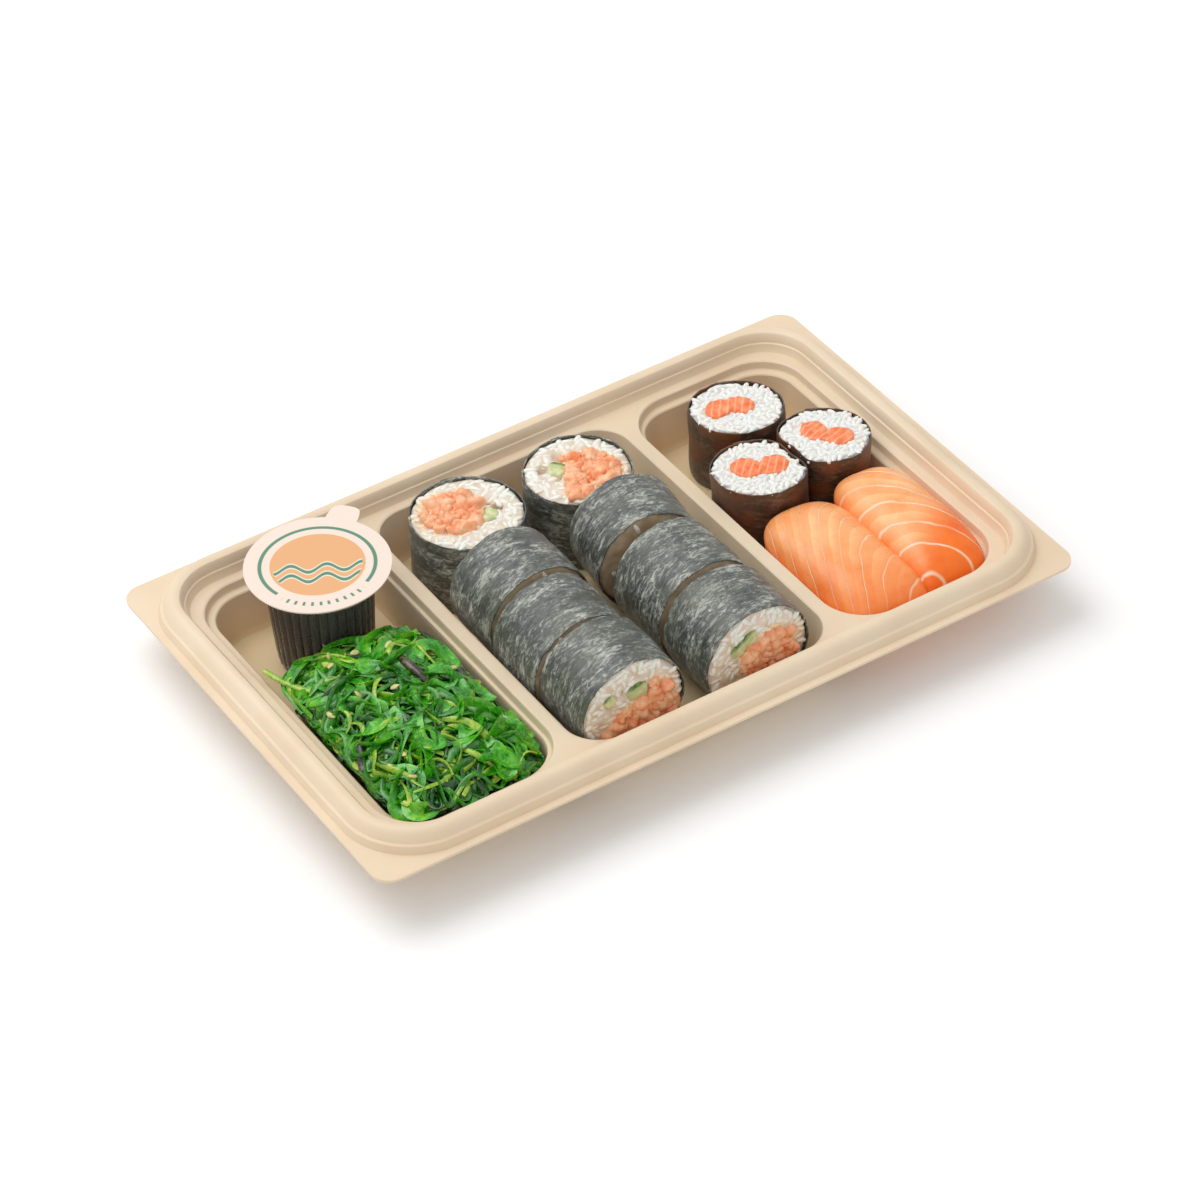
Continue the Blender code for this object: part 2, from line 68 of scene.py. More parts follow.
def placeCamera():
    azimuth = math.radians(cameraView["azimuth"])
    elevation = math.radians(cameraView["elevation"])
    roll = math.radians(cameraView["roll"])
    back = Vector((math.sin(azimuth) * math.cos(elevation),
                   -math.cos(azimuth) * math.cos(elevation), math.sin(elevation)))
    right = Vector((math.cos(azimuth), math.sin(azimuth), 0))
    up = back.cross(right)
    turned = (math.cos(roll) * right + math.sin(roll) * up,
              math.cos(roll) * up - math.sin(roll) * right, back)
    bpy.ops.object.camera_add()
    camera = bpy.context.object
    camera.matrix_world = Matrix.Translation(Vector(cameraView["target"])
                                             + back * cameraView["distance"]) \
        @ Matrix(turned).transposed().to_4x4()
    camera.data.lens = cameraView["lens"]
    camera.data.sensor_width = 36
    camera.data.clip_end = 10
    bpy.context.scene.camera = camera


# small tools

def deselect():
    if bpy.context.object and bpy.context.object.mode != "OBJECT":
        bpy.ops.object.mode_set(mode="OBJECT")
    bpy.ops.object.select_all(action="DESELECT")


def pick(thing, *others):
    deselect()
    for each in (thing, *others):
        each.select_set(True)
    bpy.context.view_layer.objects.active = thing


def startEdit(thing):
    pick(thing)
    bpy.ops.object.mode_set(mode="EDIT")
    bpy.ops.mesh.select_all(action="SELECT")


def applyModifiers(thing):
    pick(thing)
    for modifier in list(thing.modifiers):
        bpy.ops.object.modifier_apply(modifier=modifier.name)


def smoothShade(thing, degrees=40):
    pick(thing)
    bpy.ops.object.shade_smooth_by_angle(angle=math.radians(degrees))


def merge(pieces, name):
    pick(*pieces)
    bpy.ops.object.join()
    whole = bpy.context.object
    whole.name = whole.data.name = name
    return whole


def recalculate(thing):
    startEdit(thing)
    bpy.ops.mesh.normals_make_consistent(inside=False)
    bpy.ops.object.mode_set(mode="OBJECT")


def finishPiece(thing, material, nodes=()):
    thing.data.materials.clear()
    thing.data.materials.append(material)
    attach(thing, "root")
    if nodes:
        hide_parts(*nodes)


def lumps(point, size, amount, shift=0.0):
    # smooth unevenness: size is the width of a lump, in metres
    place = Vector(point) / size + Vector((shift, shift * 1.7, -shift))
    return amount * noise.noise(place)


def between(value, low, high):
    share = min(max((value - low) / (high - low), 0.0), 1.0)
    return share * share * (3 - 2 * share)


def copies(template, places, name, tones=()):
    # one mesh of many copies; places are matrices, tones one number for each copy
    mesh = template.data
    corners = np.array([tuple(vertex.co) for vertex in mesh.vertices] or [(0, 0, 0)])
    faces = [tuple(polygon.vertices) for polygon in mesh.polygons]
    allCorners = []
    allFaces = []
    for number, place in enumerate(places):
        turn = np.array(place.to_3x3())
        allCorners.append(corners @ turn.T + np.array(place.translation))
        start = number * len(corners)
        allFaces.extend(tuple(start + index for index in face) for face in faces)
    made = bpy.data.meshes.new(name)
    made.from_pydata(np.concatenate(allCorners).tolist(), [], allFaces)
    if len(tones):
        tone = made.attributes.new("tone", "FLOAT", "POINT")
        tone.data.foreach_set("value", np.repeat(np.array(tones, dtype=np.float32), len(corners)))
    made.shade_smooth()
    thing = bpy.data.objects.new(name, made)
    bpy.context.scene.collection.objects.link(thing)
    return thing


# material tools

def tint(red, green, blue):
    # a colour written as on a screen, made linear
    levels = [level / 255 for level in (red, green, blue)]
    return tuple(level / 12.92 if level < 0.04045 else ((level + 0.055) / 1.055) ** 2.4
                 for level in levels) + (1.0,)


def newMaterial(name, roughness=0.5, **fixed):
    material = bpy.data.materials.new(name)
    material.use_nodes = True
    shader = material.node_tree.nodes["Principled BSDF"]
    shader.inputs["Roughness"].default_value = roughness
    for key, value in fixed.items():
        socket = {"specular": "Specular IOR Level", "coat": "Coat Weight",
                  "coatRoughness": "Coat Roughness", "sheen": "Sheen Weight",
                  "sheenRoughness": "Sheen Roughness", "glow": "Subsurface Weight",
                  "glowDepth": "Subsurface Scale", "clear": "Transmission Weight",
                  "bend": "IOR"}[key]
        shader.inputs[socket].default_value = value
    return material


def addNode(material, kind, inputs=None, **settings):
    made = material.node_tree.nodes.new("ShaderNode" + kind)
    for key, value in settings.items():
        setattr(made, key, value)
    for key, value in (inputs or {}).items():
        if isinstance(value, bpy.types.NodeSocket):
            material.node_tree.links.new(value, made.inputs[key])
        else:
            made.inputs[key].default_value = value
    return made


def toShader(material, socket, value):
    shader = material.node_tree.nodes["Principled BSDF"]
    material.node_tree.links.new(value, shader.inputs[socket])


def objectPlace(material, stretch=(1, 1, 1), turn=(0, 0, 0), shift=(0, 0, 0)):
    source = addNode(material, "TexCoord").outputs["Object"]
    return addNode(material, "Mapping", {"Vector": source, "Scale": stretch, "Location": shift,
                                         "Rotation": [math.radians(a) for a in turn]}).outputs[0]


def noiseOf(material, where, size, detail=3.0, rough=0.5, twist=0.0):
    # size is the width of a feature in metres
    return addNode(material, "TexNoise", {"Vector": where, "Scale": 1 / size, "Detail": detail,
                                          "Roughness": rough, "Distortion": twist}).outputs["Fac"]


def colours(material, factor, stops):
    ramp = addNode(material, "ValToRGB", {"Fac": factor})
    band = ramp.color_ramp
    while len(band.elements) < len(stops):
        band.elements.new(0.5)
    for element, (place, colour) in zip(band.elements, stops):
        element.position = place
        element.color = colour
    return ramp.outputs["Color"]


def levels(material, factor, low, high, toLow=0.0, toHigh=1.0):
    return addNode(material, "MapRange", {"Value": factor, "From Min": low, "From Max": high,
                                          "To Min": toLow, "To Max": toHigh}).outputs[0]


def maths(material, operation, first, second=0.0, third=0.0):
    made = addNode(material, "Math", operation=operation)
    for index, value in enumerate((first, second, third)):
        if isinstance(value, bpy.types.NodeSocket):
            material.node_tree.links.new(value, made.inputs[index])
        else:
            made.inputs[index].default_value = value
    return made.outputs[0]


def times(material, first, second):
    return maths(material, "MULTIPLY", first, second)


def plus(material, first, second):
    return maths(material, "ADD", first, second)


def minus(material, first, second):
    return maths(material, "SUBTRACT", first, second)


def mixed(material, factor, first, second):
    made = addNode(material, "Mix", data_type="RGBA")
    for index, value in ((0, factor), (6, first), (7, second)):
        if isinstance(value, bpy.types.NodeSocket):
            material.node_tree.links.new(value, made.inputs[index])
        else:
            made.inputs[index].default_value = value
    return made.outputs[2]


def bumped(material, height, depth, strength=1.0):
    bump = addNode(material, "Bump", {"Height": height, "Distance": depth, "Strength": strength})
    toShader(material, "Normal", bump.outputs[0])


def attribute(material, name):
    return addNode(material, "Attribute", attribute_name=name).outputs["Fac"]


# tray

tray = dict(halfX=0.115, halfY=0.0738, flangeTop=0.0174, sheet=0.0008, flangeCorner=0.006,
            rimCorner=0.025, cornerSteps=14, flatBand=0.0004)
# how far in from the flange's edge, and how high above it, in millimetres
rimProfile = [(2.3, 0), (3.1, 2.2), (3.9, 2.6), (4.8, 4.4), (5.6, 5.2), (6.4, 5.6), (7.4, 5.7),
              (8.2, 5.6), (8.8, 5.4), (9.4, 4.7), (9.9, 2.7), (10.4, 2.4), (11.0, 0.5),
              (11.4, 0.05), (11.8, 0)]
# from x, to x, half of its length across, corner; a ledge is halved along a divider
compartments = [(-101.5, -45.8, 60.2, 15, True), (-42.4, 42.4, 60.4, 12, False),
                (45.8, 101.5, 60.2, 15, True)]
ledgeProfile = [(0.3, 0.05), (0.7, 0.35), (0.9, 0.9), (1.2, 2.3), (1.5, 2.6), (3.2, 2.75),
                (3.6, 3.1), (3.8, 4.2), (5.1, 14.4), (5.7, 15.8), (6.5, 16.5), (7.4, 16.6)]
plainProfile = [(0.3, 0.05), (0.7, 0.35), (0.9, 0.9), (2.5, 14.4), (3.1, 15.8), (3.9, 16.5),
                (4.8, 16.6)]


def roundedPlate(halfX, halfY, corner, z, centreX=0.0):
    deselect()
    bpy.ops.mesh.primitive_plane_add(size=2, location=(centreX, 0, z))
    plate = bpy.context.object
    plate.scale = (halfX, halfY, 1)
    bpy.ops.object.transform_apply(location=True, rotation=True, scale=True)
    startEdit(plate)
    bpy.ops.mesh.bevel(offset=corner, affect="VERTICES", segments=tray["cornerSteps"])
    bpy.ops.mesh.select_all(action="SELECT")
    return plate


def makeRim():
    # the flange has tight corners, and the rim inside it wide ones
    rim = roundedPlate(tray["halfX"], tray["halfY"], tray["flangeCorner"], tray["flangeTop"])
    bpy.ops.mesh.inset(thickness=0.1 * mm, depth=0)
    bpy.ops.object.mode_set(mode="OBJECT")
    inset = rimProfile[0][0] * mm
    tight, wide = tray["flangeCorner"], tray["rimCorner"] - inset
    for vertex in rim.data.vertices:
        if vertex.select:
            side = Vector((math.copysign(1, vertex.co.x), math.copysign(1, vertex.co.y)))
            corner = Vector((side.x * (tray["halfX"] - tight), side.y * (tray["halfY"] - tight)))
            outward = (vertex.co.xy - corner).normalized()
            vertex.co.x = side.x * (tray["halfX"] - inset - wide) + outward.x * wide
            vertex.co.y = side.y * (tray["halfY"] - inset - wide) + outward.y * wide
    bpy.ops.object.mode_set(mode="EDIT")
    for (inFrom, upFrom), (inTo, upTo) in zip(rimProfile, rimProfile[1:]):
        bpy.ops.mesh.inset(thickness=(inTo - inFrom) * mm, depth=(upTo - upFrom) * mm)
    bpy.ops.mesh.delete(type="ONLY_FACE")
    deselect()
    return rim


def makeCompartment(fromX, toX, halfY, corner, ledge):
    fromX, toX, halfY, corner = fromX * mm, toX * mm, halfY * mm, corner * mm
    band = tray["flatBand"]
    middle = (fromX + toX) / 2
    well = roundedPlate((toX - fromX) / 2 + band, halfY + band, corner + band,
                        tray["flangeTop"], middle)
    bpy.ops.mesh.inset(thickness=band, depth=0)
    before = (0.0, 0.0)
    left, right = fromX, toX
    leftShare = 0.5 if ledge and fromX > 0 else 1.0
    rightShare = 0.5 if ledge and toX < 0 else 1.0
    for inset, drop in (ledgeProfile if ledge else plainProfile):
        step = (inset - before[0]) * mm
        bpy.ops.mesh.inset(thickness=step, depth=(before[1] - drop) * mm)
        # a divider's side is steeper than the outer wall
        newLeft, newRight = left + step * leftShare, right - step * rightShare
        width = right - left - 2 * step
        centre = (left + right) / 2
        bpy.ops.transform.resize(value=((newRight - newLeft) / width, 1, 1),
                                 center_override=(centre, 0, 0))
        bpy.ops.transform.translate(value=((newLeft + newRight) / 2 - centre, 0, 0))
        before = (inset, drop)
        left, right = newLeft, newRight
    deselect()
    return well


def trayMaterial():
    material = newMaterial("mouldedSheet", roughness=0.42, specular=0.4, glow=0.12,
                           glowDepth=0.003)
    where = objectPlace(material)
    cloud = noiseOf(material, where, 0.03, 2)
    fibre = noiseOf(material, where, 0.0012, 4, 0.6)
    base = colours(material, cloud, [(0.35, tint(226, 204, 174)), (0.65, tint(234, 214, 186))])
    # painted light: lower down, on the floors and lower walls, the sheet takes a brighter golden
    # colour, standing in for light glowing through it
    height = levels(material, addNode(material, "SeparateXYZ", {"Vector": where}).outputs[2],
                    0.002, 0.017)
    toShader(material, "Base Color", mixed(material, height, tint(242, 214, 170), base))
    toShader(material, "Roughness", levels(material, fibre, 0.3, 0.7, 0.36, 0.5))
    bumped(material, fibre, 0.00004, 0.5)
    return material


def makeTray():
    shell = makeRim()
    wells = [makeCompartment(*settings) for settings in compartments]
    shell = merge([shell, *wells], "trayShell")
    last = rimProfile[-1][0] * mm
    # the land between the rim and the compartments
    borderCount = {}
    for polygon in shell.data.polygons:
        for key in polygon.edge_keys:
            borderCount[key] = borderCount.get(key, 0) + 1
    startEdit(shell)
    bpy.ops.mesh.select_all(action="DESELECT")
    bpy.ops.object.mode_set(mode="OBJECT")
    for border in shell.data.edges:
        key = tuple(sorted(border.vertices))
        inside = all(abs(shell.data.vertices[i].co.x) < tray["halfX"] - last + 1e-4
                     and abs(shell.data.vertices[i].co.y) < tray["halfY"] - last + 1e-4
                     for i in key)
        border.select = borderCount.get(key, 0) < 2 and inside
    bpy.ops.object.mode_set(mode="EDIT")
    bpy.ops.mesh.select_mode(type="EDGE")
    bpy.ops.mesh.fill(use_beauty=True)
    bpy.ops.mesh.select_all(action="SELECT")
    bpy.ops.mesh.normals_make_consistent(inside=False)
    bpy.ops.object.mode_set(mode="OBJECT")
    largest = max(shell.data.polygons, key=lambda polygon: polygon.area)
    if largest.normal.z < 0:
        startEdit(shell)
        bpy.ops.mesh.flip_normals()
        bpy.ops.object.mode_set(mode="OBJECT")
    sheet = shell.modifiers.new("sheet", "SOLIDIFY")
    sheet.thickness = tray["sheet"]
    sheet.offset = -1
    applyModifiers(shell)
    smoothShade(shell, 28)
    finishPiece(shell, trayMaterial(), ["tray"])
    print("tray made")


# sauce pot

pot = dict(centre=(-0.0709, 0.034), foot=0.0008, height=0.0332, base=0.0134, top=0.0154,
           lip=0.0204, ribs=34, ribDepth=0.0003, lid=0.021, lidThickness=0.0005,
           sauceLevel=0.0295, tabDirection=41, tabWidth=0.0085, tabReach=0.0058)
# angles in degrees, from the side where the part ring is open
lidPrint = dict(frontTurn=113, ringFrom=50, barsTo=42, barsPerRadian=7.2, waveTurn=-29,
                waveTurns=620, waveHeight=0.0016, waveShifts=(0.0016, 0.0058))


def turned(profile, sides, name):
    # rings pulled up one after another from a filled circle; profile is (radius, height)
    deselect()
    radius, height = profile[0]
    bpy.ops.mesh.primitive_circle_add(vertices=sides, radius=radius, fill_type="NGON",
                                      location=(*pot["centre"], pot["foot"] + height))
    body = bpy.context.object
    bpy.ops.object.transform_apply(location=True, rotation=True, scale=True)
    startEdit(body)
    for nextRadius, nextHeight in profile[1:]:
        bpy.ops.mesh.extrude_region_move(
            TRANSFORM_OT_translate={"value": (0, 0, nextHeight - height)})
        share = nextRadius / radius
        bpy.ops.transform.resize(value=(share, share, 1),
                                 center_override=(*pot["centre"], 0))
        radius, height = nextRadius, nextHeight
    bpy.ops.object.mode_set(mode="OBJECT")
    body.name = body.data.name = name
    recalculate(body)
    return body


def ribbed(body, low, high, depth):
    # upright ribs round the wall
    for vertex in body.data.vertices:
        away = vertex.co - Vector((*pot["centre"], 0))
        rise = away.z - pot["foot"]
        if low < rise < high and math.hypot(away.x, away.y) > pot["base"] - 0.0004:
            wave = abs(math.cos(0.5 * pot["ribs"] * math.atan2(away.y, away.x)))
            radial = Vector((away.x, away.y, 0)).normalized()
            vertex.co += radial * depth * (2 * wave ** 0.6 - 1)


def cupMaterial():
    clear = newMaterial("clearCup", roughness=0.12, clear=0.92, bend=1.45)
    where = objectPlace(clear)
    cloud = noiseOf(clear, where, 0.02, 2)
    toShader(clear, "Base Color", colours(clear, cloud, [(0.3, tint(226, 216, 208)),
                                                         (0.7, tint(240, 232, 226))]))
    toShader(clear, "Roughness", levels(clear, noiseOf(clear, where, 0.004), 0.3, 0.7, 0.1, 0.2))
    return clear


def sauceMaterial():
    dark = newMaterial("darkSauce", roughness=0.15, specular=0.5)
    where = objectPlace(dark)
    rise = addNode(dark, "SeparateXYZ", {"Vector": where}).outputs[2]
    # painted glow: towards the bottom the sauce turns reddish brown in patches, standing in for light
    # shining through it
    low = levels(dark, rise, 0.011, 0.002)
    glow = times(dark, low, levels(dark, noiseOf(dark, where, 0.012, 2), 0.35, 0.65))
    toShader(dark, "Base Color", mixed(dark, glow, tint(15, 11, 10), tint(112, 48, 30)))
    return dark


def makePot():
    lip = pot["height"] - pot["lidThickness"] - 0.0003
    wall = 0.0006
    slope = (pot["top"] - pot["base"]) / lip
    outside = [(pot["base"] - 0.0014, 0), (pot["base"] - 0.0004, 0.0003),
               (pot["base"] + 0.0001, 0.0014)]
    for step in range(1, 8):
        height = 0.0014 + step * (lip - 0.0044) / 7
        outside.append((pot["base"] + slope * height + 0.0002, height))
    rimPart = [(pot["top"], lip - 0.0022), (pot["top"] + 0.0003, lip - 0.0012),
               (pot["lip"] - 0.0003, lip - 0.0009), (pot["lip"], lip - 0.0005),
               (pot["lip"] - 0.0002, lip), (pot["top"] - wall + 0.0003, lip),
               (pot["top"] - wall, lip - 0.0004)]
    inside = [(pot["base"] - wall, 0.0018), (pot["base"] - wall - 0.001, wall)]
    cup = turned(outside + rimPart + inside, pot["ribs"] * 6, "sauceCup")
    ribbed(cup, 0.001, lip - 0.0025, pot["ribDepth"])
    smoothShade(cup, 50)
    finishPiece(cup, cupMaterial(), ["sauce_cup"])

    # the sauce reaches just into the wall
    reach = wall * 0.7
    liquid = turned([(pot["base"] - wall - 0.0008, wall - 0.0001),
                     (pot["base"] - reach, 0.0022),
                     (pot["base"] - reach + slope * 0.014, 0.014),
                     (pot["base"] - reach + slope * pot["sauceLevel"], pot["sauceLevel"])],
                    pot["ribs"] * 3, "sauceInside")
    smoothShade(liquid, 40)
    finishPiece(liquid, sauceMaterial(), ["sauce"])
    makeLid()
    print("sauce pot made")


def lidMaterial():
    # a round field with two waves, a part ring and a row of short bars, in plain colours
    paper = newMaterial("printedLid", roughness=0.38, specular=0.45)
    where = objectPlace(paper, shift=(-pot["centre"][0], -pot["centre"][1], 0))
    split = addNode(paper, "SeparateXYZ", {"Vector": where})
    x, y = split.outputs[0], split.outputs[1]
    radius = maths(paper, "SQRT", plus(paper, times(paper, x, x), times(paper, y, y)))
    angle = maths(paper, "ARCTAN2", y, x)

    def within(value, low, high, soft=0.00012):
        return times(paper, levels(paper, value, low - soft, low + soft),
                     levels(paper, value, high + soft, high - soft))

    def fromFront(degrees):
        return levels(paper, front, math.radians(degrees), math.radians(degrees + 0.6))

    field = levels(paper, radius, 0.01365, 0.01345)
    fromGap = plus(paper, angle, math.radians(lidPrint["frontTurn"]))
    front = maths(paper, "ABSOLUTE", maths(paper, "WRAP", fromGap, -math.pi, math.pi))
    ring = times(paper, within(radius, 0.0158, 0.0169), fromFront(lidPrint["ringFrom"]))
    beat = maths(paper, "FRACT", times(paper, front, lidPrint["barsPerRadian"]))
    row = levels(paper, front, math.radians(lidPrint["barsTo"] + 0.6),
                 math.radians(lidPrint["barsTo"]))
    bars = times(paper, within(radius, 0.0164, 0.0180, 0.00008),
                 times(paper, row, within(beat, 0.3, 0.62, 0.05)))
    c, s = (f(math.radians(lidPrint["waveTurn"])) for f in (math.cos, math.sin))
    along = plus(paper, times(paper, x, c), times(paper, y, s))
    across = plus(paper, times(paper, x, -s), times(paper, y, c))
    wave = times(paper, maths(paper, "SINE", times(paper, along, lidPrint["waveTurns"])),
                 lidPrint["waveHeight"])
    distances = [maths(paper, "ABSOLUTE", minus(paper, plus(paper, across, shift), wave))
                 for shift in lidPrint["waveShifts"]]
    strip = maths(paper, "MINIMUM", *distances)
    inField = levels(paper, radius, 0.0128, 0.0126)
    halo = times(paper, levels(paper, strip, 0.00125, 0.00115), inField)
    stroke = times(paper, levels(paper, strip, 0.00072, 0.0006), inField)
    colour = mixed(paper, field, tint(240, 222, 208), tint(231, 174, 122))
    colour = mixed(paper, halo, colour, tint(232, 226, 208))
    for mark in (ring, bars, stroke):
        colour = mixed(paper, mark, colour, tint(92, 140, 116))
    toShader(paper, "Base Color", colour)
    bumped(paper, noiseOf(paper, objectPlace(paper), 0.0008, 2), 0.00003, 0.3)
    return paper


def makeLid():
    top = pot["foot"] + pot["height"]
    deselect()
    bpy.ops.mesh.primitive_circle_add(vertices=180, radius=pot["lid"], fill_type="NGON",
                                      location=(*pot["centre"], top - pot["lidThickness"]))
    lid = bpy.context.object
    bpy.ops.object.transform_apply(location=True, rotation=True, scale=True)
    startEdit(lid)
    for width in (0.0006, 0.003, 0.004, 0.005):
        bpy.ops.mesh.inset(thickness=width, depth=0)
    bpy.ops.object.mode_set(mode="OBJECT")
    for vertex in lid.data.vertices:
        away = vertex.co.xy - Vector(pot["centre"])
        angle = math.atan2(away.y, away.x) - math.radians(pot["tabDirection"])
        if math.cos(angle) > 0 and away.length > pot["lid"] - 0.0007:
            side = pot["lid"] * math.sin(angle) / (pot["tabWidth"] / 2)
            if abs(side) < 1:
                # the peel tab
                vertex.co.xy += away.normalized() * pot["tabReach"] * (1 - side ** 4) ** 0.5
    for vertex in lid.data.vertices:
        vertex.co.z += lumps(vertex.co, 0.016, 0.00015)
    sheet = lid.modifiers.new("sheet", "SOLIDIFY")
    sheet.thickness = pot["lidThickness"] * 0.8
    sheet.offset = 1
    applyModifiers(lid)
    recalculate(lid)
    lid.name = lid.data.name = "potLid"
    smoothShade(lid, 40)
    finishPiece(lid, lidMaterial(), ["sauce_lid"])


# rolls: each has its own frame, x and y across its cut face and z out of the face that shows

thickRolls = {
    "futomaki_1": dict(stands=True, seed=1), "futomaki_2": dict(stands=True, seed=2),
    "futomaki_3": dict(seed=3), "futomaki_4": dict(seed=4), "futomaki_5": dict(seed=5),
    "futomaki_6": dict(seed=6, yaw=-8), "futomaki_7": dict(seed=7), "futomaki_8": dict(seed=8)}
thinRolls = {"hosomaki_1": dict(stands=True, seed=21), "hosomaki_2": dict(stands=True, seed=22),
             "hosomaki_3": dict(stands=True, seed=23)}


def nodePoints(node, matrix):
    # a node's corners in the roll's frame, each once
    back = matrix.inverted()
    found = {tuple(round(c, 6) for c in back @ vertex.co) for vertex in
             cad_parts[node].data.vertices}
    return np.array(sorted(found))


def outlineOf(points, orders):
    # distance from the middle as a smooth function of the angle
    angles = np.arctan2(points[:, 1], points[:, 0])
    reach = np.hypot(points[:, 0], points[:, 1])
    outer = [not any(abs(math.remainder(angles[j] - angles[i], 2 * math.pi)) < 0.06
                     and 0.0002 < reach[j] - reach[i] for j in range(len(angles)))
             for i in range(len(angles))]
    angles, reach = angles[outer], reach[outer]
    waves = [np.ones_like(angles)]
    for order in range(1, orders + 1):
        waves += [np.cos(order * angles), np.sin(order * angles)]
    weights = np.linalg.lstsq(np.stack(waves, 1), reach, rcond=None)[0]

    def reachAt(angle):
        total = weights[0]
        for order in range(1, orders + 1):
            total += weights[2 * order - 1] * math.cos(order * angle)
            total += weights[2 * order] * math.sin(order * angle)
        return float(total)
    return reachAt


def shapeOf(node, matrix, orders=6):
    # middle, lowest and highest level, and the outline at the foot and at the head
    points = nodePoints(node, matrix)
    low, high = points.min(0), points.max(0)
    middle = np.array([(low[0] + high[0]) / 2, (low[1] + high[1]) / 2, 0])
    points = points - middle
    foot = outlineOf(points[np.abs(points[:, 2] - low[2]) < 0.0005], orders)
    head = outlineOf(points[np.abs(points[:, 2] - high[2]) < 0.0005], orders)
    return dict(middle=Vector(middle), low=float(low[2]), high=float(high[2]), foot=foot, head=head)


def reachIn(shape, angle, height):
    share = (height - shape["low"]) / (shape["high"] - shape["low"])
    share = min(max(share, 0.0), 1.0)
    return shape["foot"](angle) * (1 - share) + shape["head"](angle) * share


def rollMatrix(name, roll):
    low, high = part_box(f"{name}_nori")
    centre = (low + high) / 2
    if roll.get("stands"):
        return Matrix.Translation(centre)
    turn = Matrix.Rotation(math.radians(roll.get("yaw", 0)), 4, "Z")
    return Matrix.Translation(centre) @ turn @ Matrix.Rotation(math.radians(90), 4, "X")


sleeve = dict(around=110, along=18, overlap=1.07, thickness=0.00035, lump=0.00035, rag=0.00035,
              lift=0.0005, inset=0.0003, startLying=-100, startStanding=60)
riceInset = 0.0009   # of the rice inside its sleeve


def makeSleeve(name, roll, matrix, shape, material):
    # a sheet rolled up round the rice, with its edge lapped underneath
    bpy.ops.mesh.primitive_grid_add(x_subdivisions=sleeve["around"],
                                    y_subdivisions=sleeve["along"], size=2)
    sheet = bpy.context.object
    seed = roll["seed"] * 3.7
    start = math.radians(sleeve["startStanding" if roll.get("stands") else "startLying"])
    for vertex in sheet.data.vertices:
        share = (vertex.co.x + 1) / 2
        angle = start + share * 2 * math.pi * sleeve["overlap"]
        height = shape["low"] + (vertex.co.y + 1) / 2 * (shape["high"] - shape["low"])
        lap = between(share, 2 - sleeve["overlap"], 1.0) * sleeve["lift"]
        reach = reachIn(shape, angle, height) + lap - sleeve["inset"]
        local = Vector((reach * math.cos(angle), reach * math.sin(angle), height))
        reach += lumps(local, 0.009, sleeve["lump"], seed)
        reach += lumps(local, 0.003, sleeve["lump"] * 0.3, seed)
        edge = between(abs(vertex.co.y), 0.86, 1.0)
        height += edge * math.copysign(1, vertex.co.y) * lumps(local, 0.0022, sleeve["rag"], seed)
        reach -= edge * 0.00025
        vertex.co = (reach * math.cos(angle), reach * math.sin(angle), height)
    layer = sheet.data.uv_layers.active
    size = max(shape["head"](0), 0.01) * 2 * math.pi
    for corner in layer.data:
        # the pattern's own place on the sheet, in metres
        corner.uv = (corner.uv[0] * size + seed, corner.uv[1] * (shape["high"] - shape["low"]))
    sheet.data.transform(matrix @ Matrix.Translation(shape["middle"]))
    recalculate(sheet)
    wrap = sheet.modifiers.new("sheet", "SOLIDIFY")
    wrap.thickness = sleeve["thickness"]
    wrap.offset = -1
    applyModifiers(sheet)
    sheet.name = sheet.data.name = f"{name}Wrap"
    smoothShade(sheet, 60)
    finishPiece(sheet, material, [f"{name}_nori"])
    return sheet


def rollShapes(name, matrix):
    # the rice fills its sleeve
    outer = shapeOf(f"{name}_nori", matrix)
    rice = shapeOf(f"{name}_rice", matrix, orders=4)
    rice["foot"] = lambda angle: outer["foot"](angle) - riceInset
    rice["head"] = lambda angle: outer["head"](angle) - riceInset
    rice["middle"] = outer["middle"]
    return outer, rice


def makeBody(name, node, matrix, shape, looks, material):
    # a closed bar that follows the node's outline, with rough cut ends
    around, rings = looks["around"], looks["rings"]
    bpy.ops.mesh.primitive_uv_sphere_add(segments=around, ring_count=rings, radius=1)
    body = bpy.context.object
    faceShare = looks["faceShare"]
    middleHeight = (shape["low"] + shape["high"]) / 2
    halfLength = (shape["high"] - shape["low"]) / 2 + looks["proud"]
    for vertex in body.data.vertices:
        level = math.acos(max(-1.0, min(1.0, vertex.co.z))) / math.pi
        angle = math.atan2(vertex.co.y, vertex.co.x)
        end = 1 if level < 0.5 else -1
        inward = min(level, 1 - level) / faceShare
        if inward < 1:
            spread = min(inward * 1.02, 1.0)
            height = middleHeight + end * (halfLength - looks["round"] * spread ** 8)
        else:
            spread = 1.0
            share = (level - 0.5) / (0.5 - faceShare)
            height = middleHeight - share * (halfLength - looks["round"])
        reach = (reachIn(shape, angle, height) - looks["inset"]) * spread
        place = Vector((reach * math.cos(angle), reach * math.sin(angle), height))
        if inward < 1:
            place.z += end * lumps(place, looks["lumpSize"], looks["lump"], looks["seed"])
            for x, y, radius, depth in looks.get("hollows", ()):
                if end > 0:
                    away = math.hypot(place.x - x * mm, place.y - y * mm)
                    place.z -= depth * mm * (1 - between(away, radius * mm * 0.6, radius * mm))
        else:
            place.xy *= 1 + lumps(place, looks["lumpSize"], looks["lump"] * 20, looks["seed"])
        vertex.co = place
    body.data.transform(matrix @ Matrix.Translation(shape["middle"]))
    recalculate(body)
    body.name = body.data.name = name
    smoothShade(body, 70)
    finishPiece(body, material, [node])
    return body


